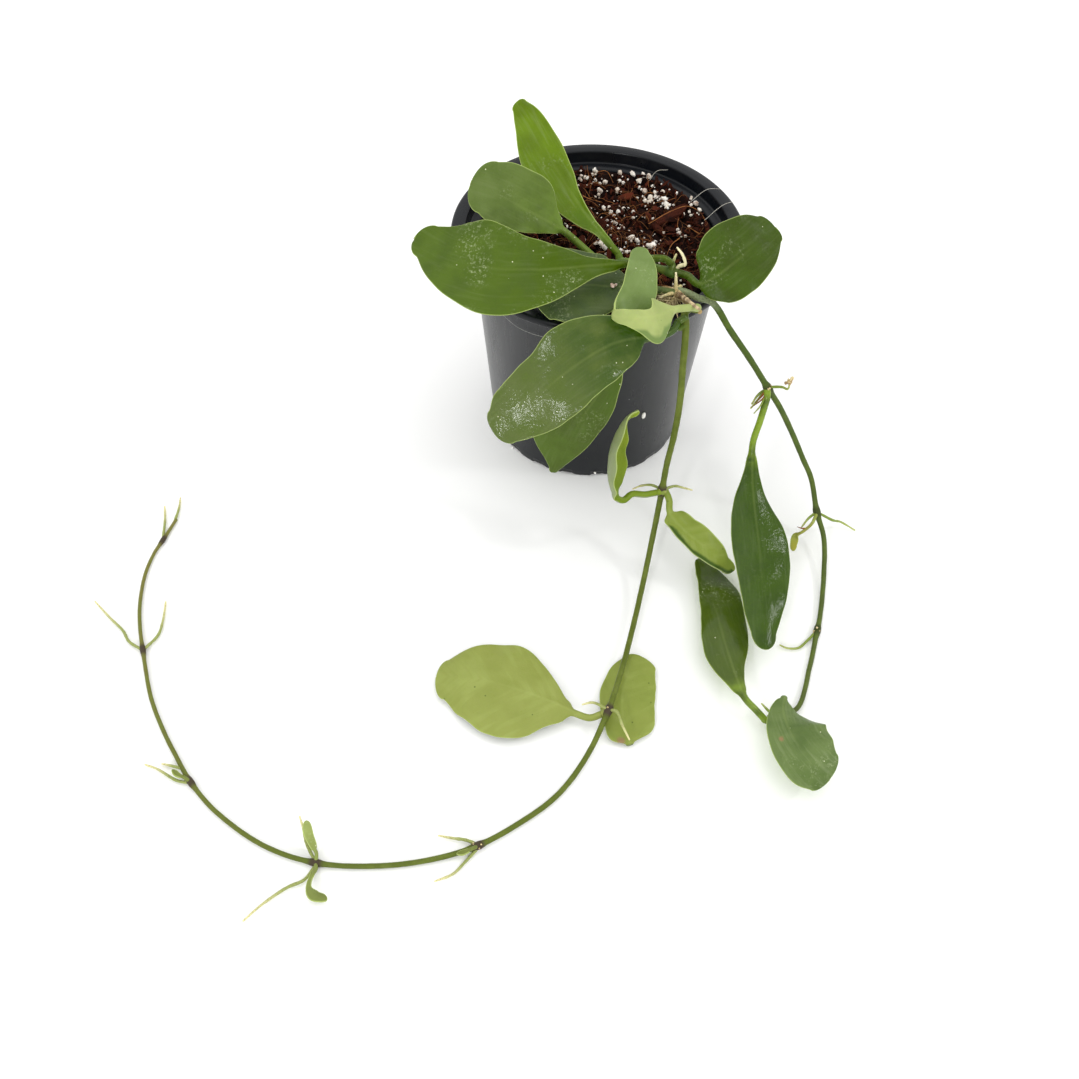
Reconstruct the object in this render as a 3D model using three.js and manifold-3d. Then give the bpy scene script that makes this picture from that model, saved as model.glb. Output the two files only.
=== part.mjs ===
import * as THREE from 'three';
import { mergeVertices } from 'three/addons/utils/BufferGeometryUtils.js';
import Module from 'manifold-3d';

// A trailing hoya in a black moulded nursery pot. Millimetres, +Z up. The origin is the middle of
// the pot's base on the surface it stands on, and both runners trail towards -Y and lie on it.

const wasm = await Module();
wasm.setup();

// ---- Pot -------------------------------------------------------------------------------------
const POT_HEIGHT = 93;
const POT_FACETS = 36;
const RIM_RADIUS = 54;
const RIM_INNER_RADIUS = 48.6;
const RIM_LIP_HEIGHT = 3;
const COLLAR_RADIUS = 50;
const LEDGE_DROP = 4.4;
const SHOULDER_DROP = 7;
const WALL_TOP_RADIUS = 46.2;
const WALL_THICKNESS = 1.4;
const BASE_RADIUS = 40.2;
const FLOOR_LIFT = 1.6;
const FLOOR_THICKNESS = 1.6;
const BASE_PAD_RADIUS = 20;
const FOOT_WIDTH = 3.6;
const FOOT_NOTCHES = 20;
const FOOT_NOTCH_WIDTH = 6;
const DRAIN_HOLES = 8;
const DRAIN_HOLE_RADIUS = 3.2;
const DRAIN_HOLE_CIRCLE = 29;

// ---- Soil ------------------------------------------------------------------------------------
const CLEARANCE = 0.35;
const SOIL_LEVEL = 86;
const SOIL_BOTTOM = FLOOR_LIFT + FLOOR_THICKNESS + CLEARANCE;
const SOIL_WAVE = 0.9;
const SOIL_SECTORS = 32;
const SOIL_RINGS = 6;
const GRAIN_COUNT = 26;
const GRAIN_RADIUS = [0.9, 1.9];
const GRAIN_LIFT = 0.3;
const CHIP_COUNT = 14;
const CHIP_LENGTH = [4, 9];
const CHIP_THICKNESS = 1.8;
const CHIP_LIFT = 0.4;
const STEM_HOLE_DEPTH = 22;
const STEM_HOLE_HEIGHT = 40;
const STEM_HOLE_FACETS = 12;
const STEM_HOLE_PLAY = 0.9;

// ---- Plant -----------------------------------------------------------------------------------
const BLADE_THICKNESS = 1.1;
const BLADE_COLUMNS = 6;
const PETIOLE_RADIUS = 1.25;
const PETIOLE_STATIONS = 4;
const BLADE_STATIONS = 10;
const STEM_SIDES = 7;
const ROOT_SIDES = 5;
const KNOT_SWELL = 0.55;
const KNOT_LENGTH = 2.2;
const LEAST_EDGE = 0.35;
const MERGE_DISTANCE = 1e-4;

// ---- Finishes --------------------------------------------------------------------------------
const FINISHES = {
  pot: { color: 0x34383b, roughness: 0.42, metalness: 0 },
  soil: { color: 0x4a2417, roughness: 0.95, metalness: 0 },
  woody: { color: 0x6d6247, roughness: 0.8, metalness: 0 },
  stem: { color: 0x66742f, roughness: 0.5, metalness: 0 },
  root: { color: 0xd9cb86, roughness: 0.6, metalness: 0 },
  leafDark: { color: 0x44652c, roughness: 0.38, metalness: 0 },
  leafLight: { color: 0x6f9a36, roughness: 0.38, metalness: 0 },
  leafUnder: { color: 0x9ab05a, roughness: 0.5, metalness: 0 },
  leafYoung: { color: 0x7f8f3a, roughness: 0.5, metalness: 0 },
};

const toVector = ([x, y, z]) => new THREE.Vector3(x, y, z);

// A repeatable random sequence (mulberry32), so that every build scatters the same mix.
function seeded(seed) {
  let state = seed;
  return () => {
    state = (state + 0x6d2b79f5) | 0;
    let t = Math.imul(state ^ (state >>> 15), 1 | state);
    t = (t + Math.imul(t ^ (t >>> 7), 61 | t)) ^ t;
    return ((t ^ (t >>> 14)) >>> 0) / 4294967296;
  };
}

const smoothstep = (from, to, x) => {
  const t = Math.min(1, Math.max(0, (x - from) / (to - from)));
  return t * t * (3 - 2 * t);
};

// Reads column `column` of a table whose first column is the position, as a smooth curve
// through its rows: a cubic with the slope at each row taken from its two neighbours.
function smoothAt(rows, x, column) {
  const last = rows.length - 1;
  if (x <= rows[0][0]) return rows[0][column];
  if (x >= rows[last][0]) return rows[last][column];
  const i = rows.findIndex((row) => row[0] > x) - 1;
  const slope = (k) => {
    const a = rows[Math.max(0, k - 1)];
    const b = rows[Math.min(last, k + 1)];
    return (b[column] - a[column]) / (b[0] - a[0]);
  };
  const span = rows[i + 1][0] - rows[i][0];
  const t = (x - rows[i][0]) / span;
  const [a, b] = [rows[i][column], rows[i + 1][column]];
  const [ma, mb] = [slope(i) * span, slope(i + 1) * span];
  return (2 * t ** 3 - 3 * t ** 2 + 1) * a + (t ** 3 - 2 * t ** 2 + t) * ma
    + (3 * t ** 2 - 2 * t ** 3) * b + (t ** 3 - t ** 2) * mb;
}

// ---- Solids ----------------------------------------------------------------------------------

// Makes a closed body of a geometry: vertices merged, slivers at poles dropped, faces outward.
function solid(geometry) {
  const bare = geometry.clone();
  bare.deleteAttribute('normal');
  bare.deleteAttribute('uv');
  const merged = mergeVertices(bare, MERGE_DISTANCE);
  const positions = merged.attributes.position.array;
  const corner = (k) => new THREE.Vector3().fromArray(positions, 3 * k);
  const faces = [];
  let volume = 0;
  for (let i = 0; i < merged.index.count; i += 3) {
    const [a, b, c] = [0, 1, 2].map((k) => merged.index.getX(i + k));
    if (a === b || b === c || c === a) continue;
    faces.push([a, b, c]);
    volume += corner(a).dot(corner(b).cross(corner(c)));
  }
  const wound = volume < 0 ? faces.map(([a, b, c]) => [a, c, b]) : faces;
  return new wasm.Manifold(new wasm.Mesh({
    numProp: 3,
    vertProperties: new Float32Array(positions),
    triVerts: new Uint32Array(wound.flat()),
  }));
}

function geometryOf(body) {
  const mesh = body.getMesh();
  const geometry = new THREE.BufferGeometry();
  geometry.setAttribute('position', new THREE.BufferAttribute(mesh.vertProperties, 3));
  geometry.setIndex(new THREE.BufferAttribute(mesh.triVerts, 1));
  geometry.computeVertexNormals();
  return geometry;
}

const joined = (bodies) => bodies.reduce((whole, body) => whole.add(body));
const without = (whole, cuts) => whole.subtract(joined(cuts));

// Closes a stack of rings of points, each with the same number of points, into one skin with a
// fan of triangles over each end.
function skinOfRings(rings) {
  const sides = rings[0].length;
  const middle = (ring) => ring.reduce((sum, p) => sum.add(p), new THREE.Vector3())
    .divideScalar(sides);
  const points = [...rings.flat(), middle(rings[0]), middle(rings.at(-1))];
  const startCap = rings.length * sides;
  const faces = [];
  for (let i = 0; i < rings.length - 1; i += 1) {
    for (let j = 0; j < sides; j += 1) {
      const next = (j + 1) % sides;
      const [a, b] = [i * sides + j, i * sides + next];
      faces.push(a, a + sides, b + sides, a, b + sides, b);
    }
  }
  for (let j = 0; j < sides; j += 1) {
    const next = (j + 1) % sides;
    const lastRing = (rings.length - 1) * sides;
    faces.push(startCap, j, next);
    faces.push(startCap + 1, lastRing + next, lastRing + j);
  }
  const geometry = new THREE.BufferGeometry();
  geometry.setAttribute('position',
    new THREE.Float32BufferAttribute(points.flatMap((p) => p.toArray()), 3));
  geometry.setIndex(faces);
  return geometry;
}

// ---- Pot and soil ----------------------------------------------------------------------------

function turned(profile, facets) {
  const points = profile.map(([r, z]) => new THREE.Vector2(r, z));
  return solid(new THREE.LatheGeometry(points, facets).rotateX(Math.PI / 2));
}

function aroundAxis(geometry, radius, angle, height) {
  return solid(geometry
    .translate(radius, 0, height)
    .rotateZ(angle));
}

// The moulded pot: a flat rolled rim over a short collar, a stacking ledge inside, a tapered
// wall, and a floor that stands on a middle pad and a notched foot ring, with drain holes.
function pot() {
  const innerTop = WALL_TOP_RADIUS - WALL_THICKNESS;
  const innerBase = BASE_RADIUS - WALL_THICKNESS;
  const collarTop = POT_HEIGHT - RIM_LIP_HEIGHT;
  const floorTop = FLOOR_LIFT + FLOOR_THICKNESS;
  const footInside = BASE_RADIUS - FOOT_WIDTH;
  const shell = turned([
    [0, 0],
    [BASE_PAD_RADIUS, 0],
    [BASE_PAD_RADIUS + 1, FLOOR_LIFT],
    [footInside - 0.8, FLOOR_LIFT],
    [footInside, 0],
    [BASE_RADIUS - 0.4, 0],
    [BASE_RADIUS, 0.5],
    [WALL_TOP_RADIUS, POT_HEIGHT - SHOULDER_DROP],
    [COLLAR_RADIUS - 0.3, POT_HEIGHT - LEDGE_DROP - 1.2],
    [COLLAR_RADIUS, collarTop],
    [RIM_RADIUS - 0.5, collarTop],
    [RIM_RADIUS, collarTop + 0.5],
    [RIM_RADIUS, POT_HEIGHT - 0.6],
    [RIM_RADIUS - 0.6, POT_HEIGHT],
    [RIM_INNER_RADIUS + 0.4, POT_HEIGHT],
    [RIM_INNER_RADIUS, POT_HEIGHT - 0.4],
    [RIM_INNER_RADIUS - 0.1, POT_HEIGHT - LEDGE_DROP],
    [innerTop, POT_HEIGHT - LEDGE_DROP - 0.6],
    [innerBase, floorTop],
    [0, floorTop],
  ], POT_FACETS);
  const cuts = [];
  for (let k = 0; k < FOOT_NOTCHES; k += 1) {
    const angle = (2 * Math.PI * (k + 0.35)) / FOOT_NOTCHES;
    const notch = new THREE.BoxGeometry(FOOT_WIDTH + 2, FOOT_NOTCH_WIDTH, 2 * FLOOR_LIFT);
    cuts.push(aroundAxis(notch, BASE_RADIUS - FOOT_WIDTH / 2, angle, 0));
  }
  for (let k = 0; k < DRAIN_HOLES; k += 1) {
    const angle = (2 * Math.PI * k) / DRAIN_HOLES;
    const drill = new THREE.CylinderGeometry(DRAIN_HOLE_RADIUS, DRAIN_HOLE_RADIUS, 4 * floorTop, 10)
      .rotateX(Math.PI / 2);
    cuts.push(aroundAxis(drill, DRAIN_HOLE_CIRCLE, angle, 0));
  }
  return without(shell, cuts);
}

// Height of the soil surface: a few long, shallow swells.
function soilHeight(x, y) {
  const swell = Math.sin(0.13 * x + 0.6) * Math.cos(0.11 * y) + 0.6 * Math.sin(0.24 * y + 0.17 * x);
  return SOIL_LEVEL + SOIL_WAVE * swell;
}

function soilInnerRadius(z) {
  const innerTop = WALL_TOP_RADIUS - WALL_THICKNESS;
  const innerBase = BASE_RADIUS - WALL_THICKNESS;
  const share = (z - FLOOR_LIFT - FLOOR_THICKNESS) / (POT_HEIGHT - LEDGE_DROP - SOIL_BOTTOM);
  return innerBase + (innerTop - innerBase) * share - 2 * CLEARANCE;
}

function soilBed() {
  const ring = (radius, height) => Array.from({ length: SOIL_SECTORS }, (_, k) => {
    const angle = (2 * Math.PI * k) / SOIL_SECTORS;
    const [x, y] = [radius * Math.cos(angle), radius * Math.sin(angle)];
    return new THREE.Vector3(x, y, height ?? soilHeight(x, y));
  });
  const rings = [ring(soilInnerRadius(SOIL_BOTTOM), SOIL_BOTTOM)];
  for (let k = 0; k < SOIL_RINGS; k += 1) {
    rings.push(ring(soilInnerRadius(SOIL_LEVEL) * (1 - k / SOIL_RINGS)));
  }
  return solid(skinOfRings(rings));
}

// Perlite grains and bark chips, scattered by a seeded draw and sunk halfway into the bed.
function soilPieces() {
  const random = seeded(411);
  const between = ([low, high]) => low + (high - low) * random();
  const reach = soilInnerRadius(SOIL_LEVEL) - 3;
  const spot = () => {
    const radius = reach * Math.sqrt(random());
    const angle = 2 * Math.PI * random();
    return [radius * Math.cos(angle), radius * Math.sin(angle)];
  };
  const pieces = [];
  for (let k = 0; k < GRAIN_COUNT; k += 1) {
    const [x, y] = spot();
    const radius = between(GRAIN_RADIUS);
    pieces.push(solid(new THREE.IcosahedronGeometry(radius, 0)
      .rotateX(6 * random())
      .translate(x, y, soilHeight(x, y) + GRAIN_LIFT * radius)));
  }
  for (let k = 0; k < CHIP_COUNT; k += 1) {
    const [x, y] = spot();
    const length = Math.min(between(CHIP_LENGTH), 2 * (reach + 2 - Math.hypot(x, y)));
    pieces.push(solid(new THREE.BoxGeometry(length, 0.4 * length, CHIP_THICKNESS)
      .rotateX(0.7 * random() - 0.35)
      .rotateZ(6 * random())
      .translate(x, y, soilHeight(x, y) + CHIP_LIFT)));
  }
  return pieces;
}

function soil(stemSpots) {
  const bed = joined([soilBed(), ...soilPieces()]);
  const holes = stemSpots.map(({ x, y, radius }) => {
    const wide = radius + STEM_HOLE_PLAY;
    const hole = new THREE.CylinderGeometry(wide, wide, STEM_HOLE_HEIGHT, STEM_HOLE_FACETS);
    return solid(hole
      .rotateX(Math.PI / 2)
      .translate(x, y, SOIL_LEVEL - STEM_HOLE_DEPTH + STEM_HOLE_HEIGHT / 2));
  });
  return without(bed, holes);
}

// ---- Stems and roots -------------------------------------------------------------------------

// A round tube along a curve, as rings at the given fractions of its length.
function tubeRings(curve, fractions, radiusAt, sides) {
  const steps = 400;
  const frames = curve.computeFrenetFrames(steps, false);
  return fractions.map((s) => {
    const k = Math.round(s * steps);
    const middle = curve.getPointAt(s);
    const radius = radiusAt(s);
    return Array.from({ length: sides }, (_, j) => {
      const angle = (2 * Math.PI * j) / sides;
      return middle.clone()
        .addScaledVector(frames.normals[k], radius * Math.cos(angle))
        .addScaledVector(frames.binormals[k], radius * Math.sin(angle));
    });
  });
}

const curveThrough = (points) => new THREE.CatmullRomCurve3(
  points.map(toVector), false, 'centripetal');

// Fraction of a curve's length that is nearest to a point.
function fractionAt(curve, point) {
  const target = toVector(point);
  let best = 0;
  let nearest = Infinity;
  for (let k = 0; k <= 600; k += 1) {
    const distance = curve.getPointAt(k / 600).distanceTo(target);
    if (distance < nearest) {
      nearest = distance;
      best = k / 600;
    }
  }
  return best;
}

// A stem that tapers from `from` to `to` in radius and swells at each knot, where leaves stood.
function stem({ route, from, to, knots = [], spacing = 9 }) {
  const curve = curveThrough(route);
  const length = curve.getLength();
  const places = knots.map((knot) => fractionAt(curve, knot));
  const radiusAt = (s) => {
    const swell = places.reduce((sum, place) => {
      const offset = ((s - place) * length) / KNOT_LENGTH;
      return sum + Math.exp(-offset * offset);
    }, 0);
    return (from + (to - from) * s) * (1 + KNOT_SWELL * swell);
  };
  const count = Math.round(length / spacing);
  const even = Array.from({ length: count + 1 }, (_, k) => k / count);
  const nearKnot = (s) => places.some((place) => Math.abs(s - place) * length < spacing / 2);
  const extra = places.flatMap((place) => [-1.4, 0, 1.4]
    .map((offset) => place + (offset * KNOT_LENGTH) / length))
    .filter((s) => s > 0.004 && s < 0.996);
  const fractions = [0, ...even.slice(1, -1).filter((s) => !nearKnot(s)), ...extra, 1]
    .sort((a, b) => a - b);
  return solid(skinOfRings(tubeRings(curve, fractions, radiusAt, STEM_SIDES)));
}

// An aerial root: a thin tube that tapers to a blunt tip.
function root(route, radius = 0.55) {
  const curve = curveThrough(route);
  const count = Math.max(3, route.length + 1);
  const fractions = Array.from({ length: count }, (_, k) => k / (count - 1));
  const radiusAt = (s) => radius * (1 - 0.45 * s * s);
  return solid(skinOfRings(tubeRings(curve, fractions, radiusAt, ROOT_SIDES)));
}

// ---- Leaves ----------------------------------------------------------------------------------

// A leaf as one skin: a round petiole that flattens into a blade. The rib is its middle line,
// from the stem to the tip. At each station the blade's section is an arc across the rib: its
// half widths come from the outline rows [position, left, right], the last of which rounds off
// to the tip as a quarter ellipse; its edges are turned up by `cup` degrees and rippled by
// `wave`. `face` lists the directions the upper face looks in, evenly spaced along the rib.
function leafRings(leaf) {
  const { rib, face, bladeFrom, outline, cup = 12, wave = 0.5, waves = 3, phase = 0 } = leaf;
  const { petiole = PETIOLE_RADIUS, thickness = BLADE_THICKNESS } = leaf;
  const { stations = BLADE_STATIONS, columns = BLADE_COLUMNS } = leaf;
  const curve = curveThrough(rib);
  const looks = face.map(toVector);
  const lookAt = (s) => {
    const place = s * (looks.length - 1);
    const k = Math.min(Math.floor(place), looks.length - 2);
    return looks.length === 1 ? looks[0].clone() : looks[k].clone().lerp(looks[k + 1], place - k);
  };
  const lastRow = outline.at(-1)[0];
  const halfWidth = (b, column) => {
    const tipward = Math.max(0, (b - lastRow) / (1 - lastRow));
    return Math.max(LEAST_EDGE, smoothAt(outline, b, column) * Math.sqrt(1 - Math.min(1, tipward ** 2)));
  };
  const section = (s) => {
    const b = Math.max(0, (s - bladeFrom) / (1 - bladeFrom));
    const flat = smoothstep(0, 0.14, b);
    const along = curve.getTangentAt(s);
    const look = lookAt(s);
    const up = look.addScaledVector(along, -look.dot(along)).normalize();
    const across = up.clone().cross(along);
    const middle = curve.getPointAt(s);
    const turn = THREE.MathUtils.degToRad(cup) * flat + 1e-4;
    const point = (column, side) => {
      const v = (2 * column) / columns - 1;
      const blade = halfWidth(b, v > 0 ? 1 : 2);
      const width = petiole + (blade - petiole) * smoothstep(-0.02, 0.06, b);
      const bow = width * (1 - Math.cos(turn * v)) / turn;
      const reach = width * Math.sin(turn * v) / turn;
      const roundX = petiole * Math.sin((Math.PI / 2) * v);
      const ripple = wave * flat * v * v
        * Math.sin(2 * Math.PI * waves * b + phase + (v > 0 ? 0 : 2));
      const x = roundX + (reach - roundX) * smoothstep(-0.02, 0.06, b);
      const bladeHalf = (thickness / 2) * (1 - 0.4 * v * v);
      const roundHalf = Math.max(LEAST_EDGE, petiole * Math.cos((Math.PI / 2) * v));
      const half = side * (roundHalf + (bladeHalf - roundHalf) * flat);
      const tilt = turn * v * flat;
      return middle.clone()
        .addScaledVector(across, x - Math.sin(tilt) * half)
        .addScaledVector(up, flat * bow + ripple + Math.cos(tilt) * half);
    };
    const places = Array.from({ length: columns + 1 }, (_, k) => k);
    return [
      ...places.map((k) => point(k, 1)),
      ...places.reverse().map((k) => point(k, -1)),
    ];
  };
  const fractions = [];
  for (let k = 0; k < PETIOLE_STATIONS && bladeFrom > 0; k += 1) {
    fractions.push((bladeFrom * k) / PETIOLE_STATIONS);
  }
  for (let k = 0; k <= stations; k += 1) {
    const b = Math.sin(((Math.PI / 2) * (k + 0.001)) / (stations + 0.6));
    fractions.push(bladeFrom + (1 - bladeFrom) * b);
  }
  return fractions.map(section);
}

// Closes a leaf's rings. Each quarter of the upper face is split along the same diagonal as the
// one below it, so the rippled faces stay parallel and never cross.
function leafSkin(rings) {
  const columns = rings[0].length / 2 - 1;
  const sides = rings[0].length;
  const above = (i, j) => i * sides + j;
  const below = (i, j) => i * sides + (sides - 1 - j);
  const faces = [];
  const quad = (a, b, c, d) => faces.push(a, b, c, a, c, d);
  for (let i = 0; i < rings.length - 1; i += 1) {
    for (let j = 0; j < columns; j += 1) {
      quad(above(i, j), above(i + 1, j), above(i + 1, j + 1), above(i, j + 1));
      faces.push(below(i, j), below(i + 1, j + 1), below(i + 1, j));
      faces.push(below(i, j), below(i, j + 1), below(i + 1, j + 1));
    }
    quad(above(i, columns), above(i + 1, columns), below(i + 1, columns), below(i, columns));
    quad(below(i, 0), below(i + 1, 0), above(i + 1, 0), above(i, 0));
  }
  const last = rings.length - 1;
  for (let j = 0; j < columns; j += 1) {
    quad(above(0, j), above(0, j + 1), below(0, j + 1), below(0, j));
    quad(above(last, j + 1), above(last, j), below(last, j), below(last, j + 1));
  }
  const geometry = new THREE.BufferGeometry();
  geometry.setAttribute('position',
    new THREE.Float32BufferAttribute(rings.flat().flatMap((p) => p.toArray()), 3));
  geometry.setIndex(faces);
  return geometry;
}

const leaf = (shape) => solid(leafSkin(leafRings(shape)));

// ---- Where things stand ----------------------------------------------------------------------

// Short rooted stems: the crown that both runners spring from, and a second shoot behind it.
const CROWN = {
  route: [[17, -33, 65], [17, -33, 86], [19, -35, 93], [22, -38, 97], [25, -41.5, 98.5],
    [28.5, -45.5, 98.3], [32.5, -49.5, 97.5]],
  from: 1.7,
  to: 0.8,
  knots: [[25, -41.5, 98.5]],
  spacing: 6,
};
const BACK_SHOOT = {
  route: [[6, -21, 65], [6, -21, 88], [7, -22.5, 95], [11, -25.5, 98], [18, -29, 99],
    [24, -32, 99.5]],
  from: 1.5,
  to: 1.3,
  knots: [[7, -22.5, 95], [24, -32, 99.5]],
  spacing: 6,
};

// The long runner leaves the crown, drops past the pot and curls round over the surface.
const LONG_RUNNER = {
  route: [[27.6, -49.4, 96.4], [28, -52.5, 95], [28, -57, 90.5], [27.8, -61.5, 84], [28, -66, 73],
    [27.7, -68.1, 58], [26.5, -70.1, 42], [26.1, -72.1, 31], [23.9, -81.4, 14], [19.8, -99.3, 6],
    [14.8, -120.2, 5], [10.5, -136.4, 7], [5.8, -151.1, 7], [3.9, -155.4, 6], [0, -163.3, 3],
    [-6.5, -173.6, 1.6], [-12.9, -181.1, 1.4], [-22.3, -188.5, 1.4], [-37, -197.4, 1.7],
    [-52.5, -202.3, 1.4], [-70.2, -204.6, 1.4], [-88.4, -204, 1.7], [-105.6, -198.9, 1.4],
    [-123.8, -187.7, 1.4], [-134.2, -177.8, 1.6], [-140.5, -169.6, 1.4], [-148, -158.9, 1.4],
    [-155.1, -146.7, 1.4], [-162.6, -127.9, 1.6], [-166.2, -118.1, 1.3], [-168.8, -107.9, 1.2],
    [-170.1, -94.6, 1.2], [-169.1, -84.9, 1.2], [-167.2, -78.5, 1.3], [-164.4, -68.4, 1.2]],
  from: 1.2,
  to: 0.75,
  knots: [[26.1, -72.1, 31], [5.8, -151.1, 7], [-37, -197.4, 1.7], [-88.4, -204, 1.7],
    [-134.2, -177.8, 1.6], [-162.6, -127.9, 1.6], [-167.2, -78.5, 1.3]],
};
const LONG_RUNNER_ROOTS = [
  [[26.1, -72, 31], [22.5, -69, 30], [18.5, -67.1, 27], [16, -67, 25]],
  [[26.1, -72, 31], [31.4, -68.4, 29], [35.1, -67.6, 27], [38.4, -66.9, 25]],
  [[5.8, -151.1, 7.5], [8.5, -152.2, 8.6], [10.5, -156.6, 7], [12.8, -161.3, 6]],
  [[5.8, -151.1, 7.5], [0.5, -149.2, 9], [-3.2, -150, 9]],
  [[-37, -197.1, 1.5], [-41, -195.6, 1.5], [-45.6, -195, 1.4], [-49.9, -194.2, 1.2]],
  [[-37, -198.1, 1.5], [-40.9, -202.7, 1.4], [-44.5, -206.5, 1.2], [-50, -208.8, 1]],
  [[-88.4, -204, 1.7], [-92.4, -197.5, 2], [-94.1, -192.9, 2], [-95.8, -189.1, 2]],
  [[-88.2, -204.3, 1.5], [-91.2, -209.2, 1.3], [-96.5, -211.9, 1.2], [-103.8, -217.6, 1.1],
    [-108.2, -222.1, 0.9]],
  [[-134.3, -178, 1.4], [-138.7, -177.4, 1.3], [-146.6, -173.3, 1.2], [-151, -171.8, 1]],
  [[-138.2, -173, 1.4], [-141.7, -172.2, 1.2], [-145.3, -171.4, 1]],
  [[-162.6, -128, 1.4], [-168.7, -124.3, 1.2], [-172, -119.9, 1.1], [-178.4, -114.3, 1],
    [-185.9, -107.3, 0.9]],
  [[-162.6, -128, 1.4], [-158.8, -121.6, 1.2], [-158.5, -115.2, 1.1], [-159.5, -106.7, 0.9]],
  [[-167.2, -78.5, 1.3], [-168.8, -68.4, 1.1], [-170.6, -61.5, 1]],
  [[-164.8, -70, 1.2], [-164.6, -62.3, 1.1], [-165.3, -56.9, 1]],
];

// The short runner bows out to the right, where one old flower stalk is left on it.
const SHORT_RUNNER = {
  route: [[28.8, -41.9, 98.8], [32.4, -43.2, 98], [37.4, -43, 96], [45.1, -45.8, 86],
    [53.5, -47.8, 75], [62.2, -48.8, 62], [68.3, -49.7, 53], [75.2, -51.2, 41], [81.3, -54.3, 30],
    [85.9, -57.7, 22], [89.2, -66.1, 12], [91.8, -74.6, 7], [90.4, -90.4, 3], [86.5, -108.5, 1.6],
    [84.7, -114, 1.7], [79.9, -129, 1.5], [73, -146, 2], [66.5, -149.5, 3.2], [62.4, -150.5, 3.6]],
  from: 1.15,
  to: 0.85,
  knots: [[62.2, -48.8, 62], [89.2, -66.1, 12], [84.7, -114, 1.7], [64.5, -150, 3.4]],
};
const SHORT_RUNNER_ROOTS = [
  [[62.2, -48.6, 62.3], [66.4, -51.2, 65], [68, -53.1, 66], [68.2, -52.6, 69]],
  [[62.2, -48.8, 62], [59.4, -48.5, 58], [57.3, -51, 56]],
  [[62.2, -48.8, 62], [59, -50.5, 57], [57, -52.2, 55]],
  [[89.2, -66, 12], [96, -66.8, 8], [100.9, -64.7, 4], [106.9, -66.3, 1]],
  [[89.2, -66, 12], [85.5, -68.9, 11], [83.6, -70.9, 9]],
  [[89.2, -66.1, 12], [86.4, -72.1, 12], [82.4, -75.5, 12]],
  [[84.7, -114, 1.7], [80.4, -118.3, 1.4], [76.8, -121.3, 1.3], [72.6, -121.4, 1.2],
    [70.3, -120.1, 1]],
  [[64.5, -150, 3.4], [62.5, -148.9, 4], [59.8, -146.3, 5]],
];
const CROWN_ROOTS = [
  [[24.9, -41.4, 99.3], [24.3, -41.6, 104], [23.9, -41.8, 107]],
  [[24.2, -42.1, 98.9], [22, -43.5, 99.5], [19.5, -44, 98.5]],
  [[24.7, -42.6, 98], [23.5, -44.5, 97.5], [21.5, -46.5, 96]],
  [[25.2, -40.6, 98.4], [26.4, -38.8, 99], [27.4, -36.6, 97.4]],
];
const LOOSE_ROOT = [[26.3, -31.9, 102], [27.9, -33.3, 104], [26.9, -31.9, 106.5], [25, -29.9, 108]];

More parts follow.
